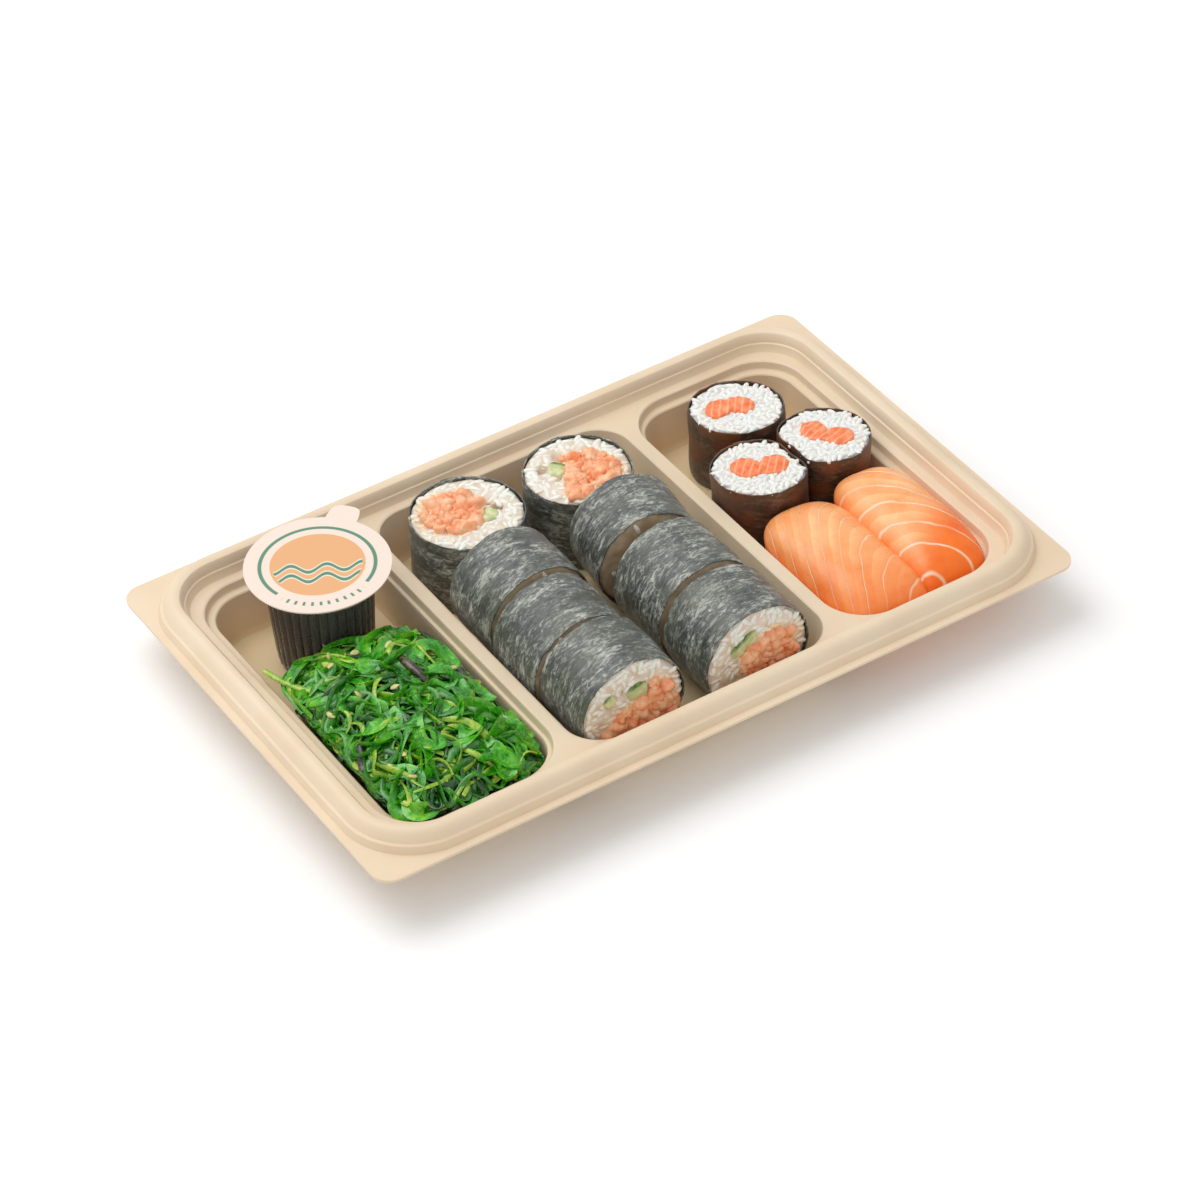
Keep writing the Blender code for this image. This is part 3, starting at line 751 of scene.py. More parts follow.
def noriMaterial(name, dark, middle, pale, brown, brownShare):
    material = newMaterial(name, roughness=0.4, specular=0.85, sheen=0.05, sheenRoughness=0.5)
    sheetPlace = addNode(material, "TexCoord").outputs["UV"]
    long = addNode(material, "Mapping", {"Vector": sheetPlace, "Scale": (0.42, 1, 1),
                                         "Rotation": (0, 0, math.radians(9))}).outputs[0]
    fibre = noiseOf(material, long, 0.0009, 6, 0.68, 0.9)
    cloud = noiseOf(material, long, 0.0042, 3, 0.55, 0.3)
    both = plus(material, times(material, fibre, 0.62), times(material, cloud, 0.38))
    base = colours(material, both, [(0.36, dark), (0.5, middle), (0.62, pale)])
    patch = levels(material, noiseOf(material, objectPlace(material), 0.011, 2), 0.46, 0.62,
                   0, brownShare)
    toShader(material, "Base Color", mixed(material, patch, base, brown))
    toShader(material, "Roughness", levels(material, both, 0.35, 0.65, 0.34, 0.55))
    crumple = noiseOf(material, objectPlace(material), 0.0035, 2)
    bumped(material, plus(material, both, times(material, crumple, 0.8)), 0.00035, 0.75)
    return material


def riceMaterial(name, base, stained):
    material = newMaterial(name, roughness=0.34, specular=0.5, glow=0.18, glowDepth=0.002)
    tone = attribute(material, "tone")
    where = objectPlace(material)
    fine = noiseOf(material, where, 0.004, 3)
    plain = mixed(material, levels(material, fine, 0.3, 0.7), base,
                  tuple(min(c * 1.1, 0.93) for c in base[:3]) + (1.0,))
    toShader(material, "Base Color", mixed(material, tone, plain, stained))
    bumped(material, noiseOf(material, where, 0.0007, 2), 0.00005, 0.3)
    return material


def riceCoreMaterial(name, base, shade):
    material = newMaterial(name, roughness=0.4, specular=0.45, glow=0.18, glowDepth=0.002)
    where = objectPlace(material)
    grains = addNode(material, "TexVoronoi", {"Vector": where, "Scale": 1 / 0.0026},
                     feature="SMOOTH_F1")
    # painted shade: darker in the gaps between the grains
    cell = levels(material, grains.outputs["Distance"], 0.15, 0.75)
    toShader(material, "Base Color", mixed(material, cell, base, shade))
    bumped(material, minus(material, 1.0, cell), 0.0004, 0.5)
    return material


def fishMaterial(name, deep, plain, pale, stripeTurn=None, spacing=0.0022):
    material = newMaterial(name, roughness=0.3, specular=0.5, glow=0.15, glowDepth=0.002)
    where = objectPlace(material)
    cloud = noiseOf(material, where, 0.0035, 3, 0.6)
    colour = colours(material, cloud, [(0.32, deep), (0.5, plain), (0.68, pale)])
    tone = levels(material, attribute(material, "tone"), 0.0, 1.0)
    colour = mixed(material, times(material, tone, 0.55), colour, pale)
    if stripeTurn is not None:
        along = objectPlace(material, turn=(0, 0, stripeTurn))
        wave = addNode(material, "TexWave", {"Vector": along, "Scale": 2 * math.pi / 20 / spacing,
                                             "Distortion": 3.2, "Detail": 2.0,
                                             "Detail Scale": 0.4}, wave_type="BANDS")
        line = levels(material, wave.outputs["Fac"], 0.76, 0.97, 0, 0.5)
        colour = mixed(material, line, colour, tint(255, 196, 150))
    toShader(material, "Base Color", colour)
    toShader(material, "Roughness", levels(material, cloud, 0.3, 0.7, 0.24, 0.42))
    bumped(material, noiseOf(material, where, 0.0016, 3), 0.0002, 0.4)
    return material


def cucumberMaterial():
    material = newMaterial("cucumber", roughness=0.3, specular=0.5, glow=0.15, glowDepth=0.002)
    where = objectPlace(material)
    flesh = colours(material, noiseOf(material, where, 0.002, 3),
                    [(0.35, tint(186, 196, 138)), (0.65, tint(218, 220, 170))])
    skin = colours(material, noiseOf(material, where, 0.0012, 2),
                   [(0.4, tint(74, 104, 44)), (0.6, tint(116, 146, 70))])
    toShader(material, "Base Color", mixed(material, attribute(material, "skin"), flesh, skin))
    bumped(material, noiseOf(material, where, 0.001, 2), 0.0001, 0.3)
    return material


def grainShape():
    # one grain of cooked rice, blunt at one end
    bpy.ops.mesh.primitive_uv_sphere_add(segments=7, ring_count=6, radius=1)
    grain = bpy.context.object
    for vertex in grain.data.vertices:
        x, y, z = vertex.co
        blunt = 1 - 0.18 * z
        vertex.co = (z * 0.0027, x * 0.00125 * blunt, y * 0.00115 * blunt + 0.0003 * z * z)
    grain.name = "grainShape"
    recalculate(grain)
    return grain


def scrapShape(seed):
    # one scrap of chopped fish
    bpy.ops.mesh.primitive_ico_sphere_add(subdivisions=3, radius=1)
    scrap = bpy.context.object
    for vertex in scrap.data.vertices:
        direction = vertex.co.normalized()
        squared = 1 / max(abs(direction.x), abs(direction.y), abs(direction.z)) ** 0.5
        vertex.co = direction * squared * (1 + lumps(direction, 0.7, 0.5, seed))
    scrap.name = "scrapShape"
    recalculate(scrap)
    return scrap


def spots(shape, height, edge, spacing, dice, amount, keepOut=(), within=None):
    # places spread over a cut face, no closer than the spacing
    found = []
    tries = 0
    while len(found) < amount and tries < amount * 60:
        tries += 1
        angle = dice.uniform(-math.pi, math.pi)
        reach = (reachIn(shape, angle, height) - edge) * math.sqrt(dice.random())
        x, y = reach * math.cos(angle), reach * math.sin(angle)
        if any(inOval(x, y, oval) < 1 for oval in keepOut):
            continue
        if within and inOval(x, y, within) > 1:
            continue
        if all((x - a) ** 2 + (y - b) ** 2 > spacing ** 2 for a, b in found):
            found.append((x, y))
    return found


def inOval(x, y, oval):
    # below 1 inside the oval: middle, half axes in millimetres and turn in degrees
    midX, midY, halfA, halfB, turn = oval
    dx, dy = x - midX * mm, y - midY * mm
    c, s = math.cos(math.radians(turn)), math.sin(math.radians(turn))
    return math.hypot((dx * c + dy * s) / (halfA * mm), (-dx * s + dy * c) / (halfB * mm))


# fillings, in millimetres from the middle of the face: x, y, half axes and turn
hiddenFish = (1.2, -3.6, 8.0, 4.8, 5)
hiddenCucumber = (0.6, 5.2, 3.8, 2.8, 0)
faces = {
    "futomaki_1": dict(fish=[(-3.4, 2.6, 8.6, 8.2, 20)], cucumber=[(5.0, -4.4, 3.4, 2.8, 45)],
                       hollows=[(8.2, -2.6, 2.0, 5.0), (7.6, 1.0, 1.3, 2.0)]),
    "futomaki_2": dict(fish=[(3.4, -1.8, 9.6, 6.6, -60), (-3.0, -8.0, 5.0, 4.0, 0)],
                       cucumber=[(-4.8, 3.6, 3.4, 3.0, 50)],
                       hollows=[(-8.4, 6.2, 1.6, 4.0), (-1.4, 8.4, 1.8, 3.0),
                                (-6.4, 0.2, 1.1, 2.5)]),
    "futomaki_5": dict(fish=[(2.2, -5.0, 11.0, 6.4, 8), (8.6, 3.0, 3.0, 5.0, 0)],
                       cucumber=[(1.6, 5.8, 3.6, 3.0, 10), (-7.6, 6.0, 2.2, 2.1, 30)],
                       hollows=[(-2.6, 6.4, 1.2, 1.6)]),
    "futomaki_8": dict(fish=[(3.6, -0.4, 8.6, 6.4, 30)], cucumber=[(-4.4, 6.4, 5.4, 2.2, 33)],
                       hollows=[]),
}
plainFace = dict(fish=[hiddenFish], cucumber=[hiddenCucumber], hollows=[])
backRow = ("futomaki_3", "futomaki_6")   # their far ends are open to view
looseGrains = dict(cut=210, far=190, hidden=12)
scrapShare = dict(cut=0.5, far=0.4, hidden=0.08)   # scraps for each square of the oval's axes


def markSkin(thing, matrix, shape, turn):
    # the green skin is on one side of a cucumber stick
    back = (matrix @ Matrix.Translation(shape["middle"])).inverted()
    values = []
    c, s = math.cos(math.radians(turn)), math.sin(math.radians(turn))
    for vertex in thing.data.vertices:
        place = back @ vertex.co
        side = -place.x * s + place.y * c
        values.append(between(side, 0.0010, 0.0019))
    skin = thing.data.attributes.new("skin", "FLOAT", "POINT")
    skin.data.foreach_set("value", values)


def placeOnFace(matrix, shape, x, y, end, depth, dice, tilt, size=1.0):
    # a copy's matrix on the shown face (end 1) or on the other one (end -1)
    level = shape["high"] + depth if end > 0 else shape["low"] - depth
    turn = Matrix.Rotation(dice.uniform(0, 2 * math.pi), 4, "Z") \
        @ Matrix.Rotation(dice.gauss(0, tilt), 4, "Y") \
        @ Matrix.Rotation(dice.uniform(0, 2 * math.pi), 4, "X")
    return matrix @ Matrix.Translation(shape["middle"] + Vector((x, y, level))) @ turn \
        @ Matrix.Scale(size * dice.uniform(0.85, 1.12), 4)


def fillFace(name, face, matrix, rice, end, dice, loose):
    # loose grains round the filling and scraps on it; a face that touches the next roll has few
    state = "cut" if end > 0 and name in faces else "far" if end < 0 and name in backRow else "hidden"
    outline = face if state == "cut" else plainFace
    height = rice["high"] if end > 0 else rice["low"]
    hollows = outline["hollows"] if end > 0 else ()
    keepOut = outline["cucumber"] + [(x, y, r + 0.9, r + 0.9, 0) for x, y, r, _ in hollows]
    fishInner = [(x, y, a * 0.8, b * 0.8, turn) for x, y, a, b, turn in outline["fish"]]
    count = looseGrains[state]
    for x, y in spots(rice, height, 0.0016, 0.0017, dice, count, keepOut + fishInner):
        loose["grains"].append(placeOnFace(matrix, rice, x, y, end, -0.0013, dice, 0.14, 0.82))
        near = min(inOval(x, y, oval) for oval in outline["fish"])
        loose["stains"].append((1 - between(near, 1.0, 1.5)) * dice.uniform(0.35, 1.0))
    for oval in outline["fish"]:
        count = int(oval[2] * oval[3] * scrapShare[state])
        for x, y in spots(rice, height, 0.003, 0.0019, dice, count, outline["cucumber"], oval):
            kind = dice.randrange(len(loose["scraps"]))
            size = dice.uniform(0.0011, 0.0028)
            loose["scraps"][kind].append(placeOnFace(matrix, rice, x, y, end,
                                                     0.0001 - 0.55 * size, dice, 0.5, size))
            loose["tones"][kind].append(dice.random())


def makeThickRolls():
    wrap = noriMaterial("noriThick", tint(22, 25, 24), tint(84, 88, 83), tint(190, 192, 180),
                        tint(74, 78, 58), 0.4)
    cutCore = riceCoreMaterial("riceCoreThick", tint(240, 228, 214), tint(214, 192, 166))
    # painted shade: the rolls whose faces lie against their neighbours get a darker, shaded copy of
    # the rice
    shadedRiceCore = riceCoreMaterial("riceCorePaintedShade", tint(196, 178, 150), tint(168, 148, 120))
    grainFinish = riceMaterial("riceThick", tint(244, 234, 224), tint(252, 200, 124))
    fish = fishMaterial("choppedFish", tint(240, 120, 56), tint(250, 166, 116),
                        tint(255, 204, 164))
    green = cucumberMaterial()
    grain = grainShape()
    scraps = [scrapShape(seed) for seed in (1.3, 4.1, 7.7)]
    loose = dict(grains=[], stains=[], scraps=[[] for _ in scraps], tones=[[] for _ in scraps])
    for name, roll in thickRolls.items():
        dice = random.Random(roll["seed"])
        matrix = rollMatrix(name, roll)
        outer, rice = rollShapes(name, matrix)
        face = faces.get(name, plainFace)
        makeSleeve(name, roll, matrix, outer, wrap)
        looks = dict(around=72, rings=44, round=0.0008, inset=0.0, lump=0.0005, lumpSize=0.0028,
                     seed=roll["seed"] * 2.3, hollows=face["hollows"], proud=-0.0006,
                     faceShare=0.38)
        makeBody(f"{name}Rice", f"{name}_rice", matrix, rice, looks,
                 cutCore if name in faces else shadedRiceCore)
        for part, spec in (("salmon", None), ("cucumber", 0), ("cucumber_end", 1)):
            node = f"{name}_{part}"
            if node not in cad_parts:
                continue
            bar = shapeOf(node, matrix, orders=4)
            barLooks = dict(around=28, rings=24, round=0.0006, inset=0.0001, lump=0.0005,
                            lumpSize=0.002, seed=roll["seed"] + 0.7, faceShare=0.34,
                            proud=0.0002 if part == "salmon" else 0.0004)
            made = makeBody(f"{name}{'Fish' if part == 'salmon' else 'Cucumber'}{spec or ''}",
                            node, matrix, bar, barLooks, fish if part == "salmon" else green)
            if part != "salmon":
                markSkin(made, matrix, bar, face["cucumber"][min(spec, len(face["cucumber"]) - 1)][4]
                         - 90 * (name == "futomaki_2"))
        for end in (1, -1):
            if end > 0 or not roll.get("stands"):
                fillFace(name, face, matrix, rice, end, dice, loose)
    grains = copies(grain, loose["grains"], "thickRollGrains", loose["stains"])
    finishPiece(grains, grainFinish)
    parts = [copies(shape, place, f"fishScraps{number}", tone) for number, (shape, place, tone)
             in enumerate(zip(scraps, loose["scraps"], loose["tones"]))]
    scrapPiece = merge(parts, "choppedFishScraps")
    finishPiece(scrapPiece, fish)
    for template in [grain, *scraps]:
        bpy.data.objects.remove(template)
    print("thick rolls made:", len(loose["grains"]), "grains")


def makeThinRolls():
    wrap = noriMaterial("noriThin", tint(24, 18, 15), tint(66, 46, 30), tint(116, 90, 66),
                        tint(110, 56, 16), 0.9)
    core = riceCoreMaterial("riceCoreThin", tint(240, 234, 230), tint(212, 203, 196))
    grainFinish = riceMaterial("riceThin", tint(240, 234, 228), tint(250, 218, 190))
    grain = grainShape()
    places, tones = [], []
    turns = {"hosomaki_1": -18, "hosomaki_2": -54, "hosomaki_3": -24}
    for name, roll in thinRolls.items():
        dice = random.Random(roll["seed"])
        matrix = rollMatrix(name, roll)
        outer, rice = rollShapes(name, matrix)
        makeSleeve(name, roll, matrix, outer, wrap)
        looks = dict(around=60, rings=44, round=0.0008, inset=0.0, lump=0.0004, lumpSize=0.0026,
                     seed=roll["seed"] * 2.3, proud=-0.0006, faceShare=0.38)
        makeBody(f"{name}Rice", f"{name}_rice", matrix, rice, looks, core)
        bar = shapeOf(f"{name}_salmon", matrix, orders=4)
        fish = fishMaterial(f"{name}Fish", tint(238, 104, 48), tint(247, 132, 80),
                            tint(252, 158, 112), stripeTurn=-turns[name] + 20)
        barLooks = dict(around=56, rings=36, round=0.0005, inset=-0.0002, lump=0.0006,
                        lumpSize=0.0018, seed=roll["seed"] + 0.7, faceShare=0.4, proud=0.0006)
        makeBody(f"{name}Fish", f"{name}_salmon", matrix, bar, barLooks, fish)
        middle = bar["middle"] - rice["middle"]
        halfLong = max(bar["head"](math.radians(a)) for a in range(0, 360, 5))
        halfWide = min(bar["head"](math.radians(a)) for a in range(0, 360, 5))
        oval = (middle.x / mm, middle.y / mm, halfLong / mm + 1.5, halfWide / mm + 1.6,
                turns[name])
        for x, y in spots(rice, rice["high"], 0.0012, 0.0014, dice, 260, [oval]):
            places.append(placeOnFace(matrix, rice, x, y, 1, -0.0010, dice, 0.22, 0.72))
            tones.append((1 - between(inOval(x, y, oval), 1.0, 1.12)) * dice.uniform(0.1, 0.4))
    grains = copies(grain, places, "thinRollGrains", tones)
    finishPiece(grains, grainFinish)
    bpy.data.objects.remove(grain)
    print("thin rolls made:", len(places), "grains")


# salmon pieces, which press into each other along the crease

salmonOverlap = 0.0018
salmonPieces = {
    "salmon_nigiri_1": dict(crest=-0.15, seed=3.0, lineGap=0.0103, firstLine=0.006, slope=0.25,
                            bend=44.0, strength=0.62, width=0.05, paleFrom=0.010, front=0.55),
    "salmon_nigiri_2": dict(crest=0.0, seed=8.0, lineGap=0.0103, firstLine=0.007, slope=0.6,
                            bend=17.5, strength=1.0, width=0.075, paleFrom=0.013, front=0.0),
}


def salmonMaterial(name, crease, side, piece):
    material = newMaterial(name, roughness=0.3, specular=0.5, glow=0.15, glowDepth=0.003)
    where = objectPlace(material)
    split = addNode(material, "SeparateXYZ", {"Vector": where})
    x, y, z = split.outputs[0], split.outputs[1], split.outputs[2]
    away = maths(material, "MAXIMUM", times(material, minus(material, x, crease), side), 0.0)
    # the fat lines start at the crease and curve forward
    curve = plus(material, times(material, away, piece["slope"]),
                 times(material, times(material, away, away), piece["bend"]))
    wander = times(material, minus(material, noiseOf(material, where, 0.012, 2), 0.5), 0.005)
    # down the sides the lines run back to the foot
    sink = times(material, minus(material, 0.022, z), 0.25)
    course = plus(material, plus(material, y, curve), plus(material, wander, sink))
    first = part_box("salmon_nigiri_2")[1].y - piece["firstLine"]
    start = 0.5 + 20 - first / piece["lineGap"]
    phase = maths(material, "FRACT", maths(material, "MULTIPLY_ADD", course,
                                           1 / piece["lineGap"], start))
    centred = maths(material, "ABSOLUTE", minus(material, phase, 0.5))
    fade = levels(material, noiseOf(material, where, 0.010, 1), 0.3, 0.5, 0.35, 1.0)
    line = times(material, levels(material, centred, piece["width"], 0.01), fade)
    cloud = noiseOf(material, where, 0.008, 4, 0.6)
    # painted light from above: the flesh turns pale towards the top
    height = levels(material, z, piece["paleFrom"], 0.0225)
    # and painted shade: the colour is deeper towards the front and the outer side
    ahead = levels(material, maths(material, "MULTIPLY_ADD", away, -0.8, y), -0.058, -0.042,
                   piece["front"], 1.0)
    height = times(material, height, ahead)
    deep = colours(material, cloud, [(0.3, tint(244, 98, 8)), (0.7, tint(252, 130, 26))])
    pale = colours(material, cloud, [(0.3, tint(253, 178, 110)), (0.7, tint(255, 208, 152))])
    base = mixed(material, height, deep, pale)
    # each flake is a little deeper in colour just in front of its line
    flake = levels(material, phase, 0.5, 1.0, 0.35, 0.0)
    base = mixed(material, flake, base, tint(248, 122, 30))
    fat = mixed(material, 0.2, tint(255, 232, 204), base)
    toShader(material, "Base Color", mixed(material, times(material, line, piece["strength"]),
                                           base, fat))
    toShader(material, "Roughness", levels(material, cloud, 0.3, 0.7, 0.24, 0.42))
    grain = noiseOf(material, objectPlace(material, stretch=(1, 0.35, 1)), 0.0011, 3)
    bumped(material, minus(material, times(material, grain, 0.35), line), 0.0003, 0.6)
    return material


def loafSection(level):
    # how wide and how high the loaf is, from the middle of its foot (0) to its top (1)
    footTo, wallTo = 0.16, 0.42
    footWidth, wallHeight = 0.84, 0.62
    if level < footTo:
        return footWidth * level / footTo, 0.0
    if level < wallTo:
        share = (level - footTo) / (wallTo - footTo)
        bulge = math.sin(share * math.pi / 2) ** 0.8
        return footWidth + (1 - footWidth) * bulge, wallHeight * share
    quarter = (level - wallTo) / (1 - wallTo) * math.pi / 2
    return max(math.cos(quarter), 0.0) ** 0.66, wallHeight + (1 - wallHeight) * math.sin(quarter)


def makeSalmonPieces():
    crease = (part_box("salmon_nigiri_1")[1].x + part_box("salmon_nigiri_2")[0].x) / 2
    for name, piece in salmonPieces.items():
        low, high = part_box(name)
        side = -1 if name.endswith("1") else 1
        centre = (low + high) / 2 - Vector((side * salmonOverlap / 2, 0, 0))
        half = (high - low) / 2 + Vector((salmonOverlap / 2, 0.0008, 0))
        bpy.ops.mesh.primitive_uv_sphere_add(segments=128, ring_count=72, radius=1)
        loaf = bpy.context.object
        for vertex in loaf.data.vertices:
            level = math.acos(max(-1.0, min(1.0, -vertex.co.z))) / math.pi   # 0 at the bottom
            angle = math.atan2(vertex.co.y, vertex.co.x)
            c, s = math.cos(angle), math.sin(angle)
            blunt = 3.3 if s > 0 else 9.0 if c * side < 0 else 3.8   # they meet in front
            corner = (abs(c) ** blunt + abs(s) ** blunt) ** (-1 / blunt)
            spread, rise = loafSection(level)
            x = half.x * corner * spread * c
            y = half.y * corner * spread * s
            z = low.z + rise * (high.z - low.z)
            # the top is highest off the middle and sinks towards the front
            across = x / half.x - piece["crest"]
            z -= 0.0016 * rise ** 3 * (across * across) + 0.0007 * rise * between(-y, 0, half.y)
            place = Vector((x, y, z))
            swell = 1 + lumps(place, 0.013, 0.02, piece["seed"])
            vertex.co = (centre.x + x * swell, centre.y + y * swell,
                         min(z * (1 + lumps(place, 0.012, 0.03, piece["seed"])), high.z + 0.0006))
        recalculate(loaf)
        loaf.name = loaf.data.name = f"salmonPiece{name[-1]}"
        smoothShade(loaf, 80)
        finishPiece(loaf, salmonMaterial(f"salmonFlesh{name[-1]}", crease, side, piece),
                    [name])
    print("salmon pieces made")


# seaweed salad: strands, strips and seeds over a smaller core

salad = dict(rimLevel=0.0165, middleRise=0.0075, coreDrop=0.0035, seed=11, seeds=16,
             pastLeft=0.0018, pastRight=0.0012, pastFront=0.0004, potGap=0.0016, potTop=0.031)
saladLow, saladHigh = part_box("seaweed_salad")
saladMiddle = (saladLow + saladHigh) / 2
saladHalf = (saladHigh - saladLow) / 2


def saladShare(x, y, exponent=7.0):
    # 0 in the middle of the heap, 1 at its outline
    u = abs((x - saladMiddle.x) / saladHalf.x)
    v = abs((y - saladMiddle.y) / saladHalf.y)
    return (u ** exponent + v ** exponent) ** (1 / exponent)


def saladHeight(x, y):
    share = min(saladShare(x, y), 1.1)
    lean = -0.0030 * between(x, saladMiddle.x, saladHigh.x)
    rise = salad["middleRise"] * (1 - share ** 3)
    return salad["rimLevel"] + rise + lean * 0.9 + lumps((x, y, 0), 0.011, 0.0022, 5.0)


def strandPath(dice, steps, stride, curl, depth):
    # a wandering line over the heap, which turns back at the outline
    while True:
        x = dice.uniform(saladLow.x, saladHigh.x)
        y = dice.uniform(saladLow.y, saladHigh.y)
        if saladShare(x, y) < 0.95:
            break
    heading = dice.uniform(0, 2 * math.pi)
    turn = dice.gauss(0, curl)
    wave = dice.uniform(0, 6)
    path = []
    for step in range(steps):
        turn += dice.gauss(0, curl * 0.45)
        turn = max(-2.4 * curl, min(2.4 * curl, turn))
        heading += turn
        x += stride * math.cos(heading)
        y += stride * math.sin(heading)
        if saladShare(x, y) > 0.96:
            towards = math.atan2(saladMiddle.y - y, saladMiddle.x - x)
            heading += 0.6 * math.remainder(towards - heading, 2 * math.pi)
            overshoot = saladShare(x, y)
            if overshoot > 1.0:
                x = saladMiddle.x + (x - saladMiddle.x) / overshoot
                y = saladMiddle.y + (y - saladMiddle.y) / overshoot
        z = saladHeight(x, y) + depth + 0.0010 * math.sin(wave + step * 0.8)
        path.append((x, y, z))
    return path


def bandSection(name, halfWidth, halfThickness, cupped):
    # the cross-section of a strand, as a closed curve with a few corners
    bpy.ops.curve.primitive_bezier_circle_add(radius=1)
    section = bpy.context.object
    section.name = name
    section.data.resolution_u = 2
    for point in section.data.splines[0].bezier_points:
        for part in ("co", "handle_left", "handle_right"):
            place = getattr(point, part)
            bow = cupped * (place.x * place.x)
            setattr(point, part, (place.x * halfWidth, place.y * halfThickness + bow, 0))
    return section


def makeStrands(name, kind, material):
    dice = random.Random(kind["seed"])
    section = bandSection(f"{name}Section", kind["halfWidth"], kind["halfThickness"],
                          kind.get("cupped", 0.0))
    curve = bpy.data.curves.new(name, "CURVE")
    curve.dimensions = "3D"
    curve.resolution_u = 3
    curve.bevel_mode = "OBJECT"
    curve.bevel_object = section
    curve.use_fill_caps = True
    curve.twist_mode = "Z_UP"
    for number in range(kind.get("count") or len(kind["paths"])):
        if "paths" in kind:
            path = [(x * mm, y * mm, z * mm) for x, y, z in kind["paths"][number]]
        else:
            path = strandPath(dice, dice.randint(*kind["steps"]), kind["stride"], kind["curl"],
                              dice.uniform(*kind["depth"]))
        spline = curve.splines.new("NURBS")
        spline.points.add(len(path) - 1)
        spline.use_endpoint_u = True
        spline.order_u = 4
        tilt = dice.uniform(-kind["tilt"], kind["tilt"])
        drift = dice.gauss(0, kind["tilt"] * 0.35)
        width = dice.uniform(0.55, 1.35)
        for step, (point, place) in enumerate(zip(spline.points, path)):
            share = step / (len(path) - 1)
            taper = 0.35 + 0.65 * math.sin(math.pi * min(max(share, 0.06), 0.94)) ** 0.4
            point.co = (*place, 1)
            point.tilt = tilt + drift * step
            point.radius = width * taper * (1 + 0.18 * math.sin(2.1 * step + number))
    body = bpy.data.objects.new(name, curve)
    bpy.context.scene.collection.objects.link(body)
    pick(body)
    bpy.ops.object.convert(target="MESH")
    body = bpy.context.object
    bpy.data.objects.remove(section)
    recalculate(body)
    smoothShade(body, 70)
    body.name = body.data.name = name
    limitSalad(body)
    finishPiece(body, material)
    return body


def limitSalad(body):
    # strands lie against the walls and the pot, not through them
    potX, potY = pot["centre"]
    clear = pot["base"] + salad["potGap"]
    for vertex in body.data.vertices:
        place = vertex.co
        place.x = min(max(place.x, saladLow.x - salad["pastLeft"]),
                      saladHigh.x + salad["pastRight"])
        place.y = max(place.y, saladLow.y - salad["pastFront"])
        away = Vector((place.x - potX, place.y - potY))
        if away.length < clear and place.z < salad["potTop"]:
            away = away.normalized() * clear
            place.x, place.y = potX + away.x, potY + away.y


def saladMaterial(name, dark, middle, bright, glow=0.2):
    material = newMaterial(name, roughness=0.2, specular=0.55, glow=glow, glowDepth=0.002,
                           coat=0.35, coatRoughness=0.12)
    where = objectPlace(material)
    cloud = noiseOf(material, where, 0.011, 3, 0.6)
    fine = noiseOf(material, where, 0.0021, 4, 0.65, 1.2)
    both = plus(material, times(material, cloud, 0.5), times(material, fine, 0.5))
    stops = [(0.36, tint(*dark)), (0.5, tint(*middle)), (0.64, tint(*bright))]
    toShader(material, "Base Color", colours(material, both, stops))
    toShader(material, "Roughness", levels(material, fine, 0.3, 0.7, 0.16, 0.32))
    bumped(material, fine, 0.0002, 0.35)
    return material


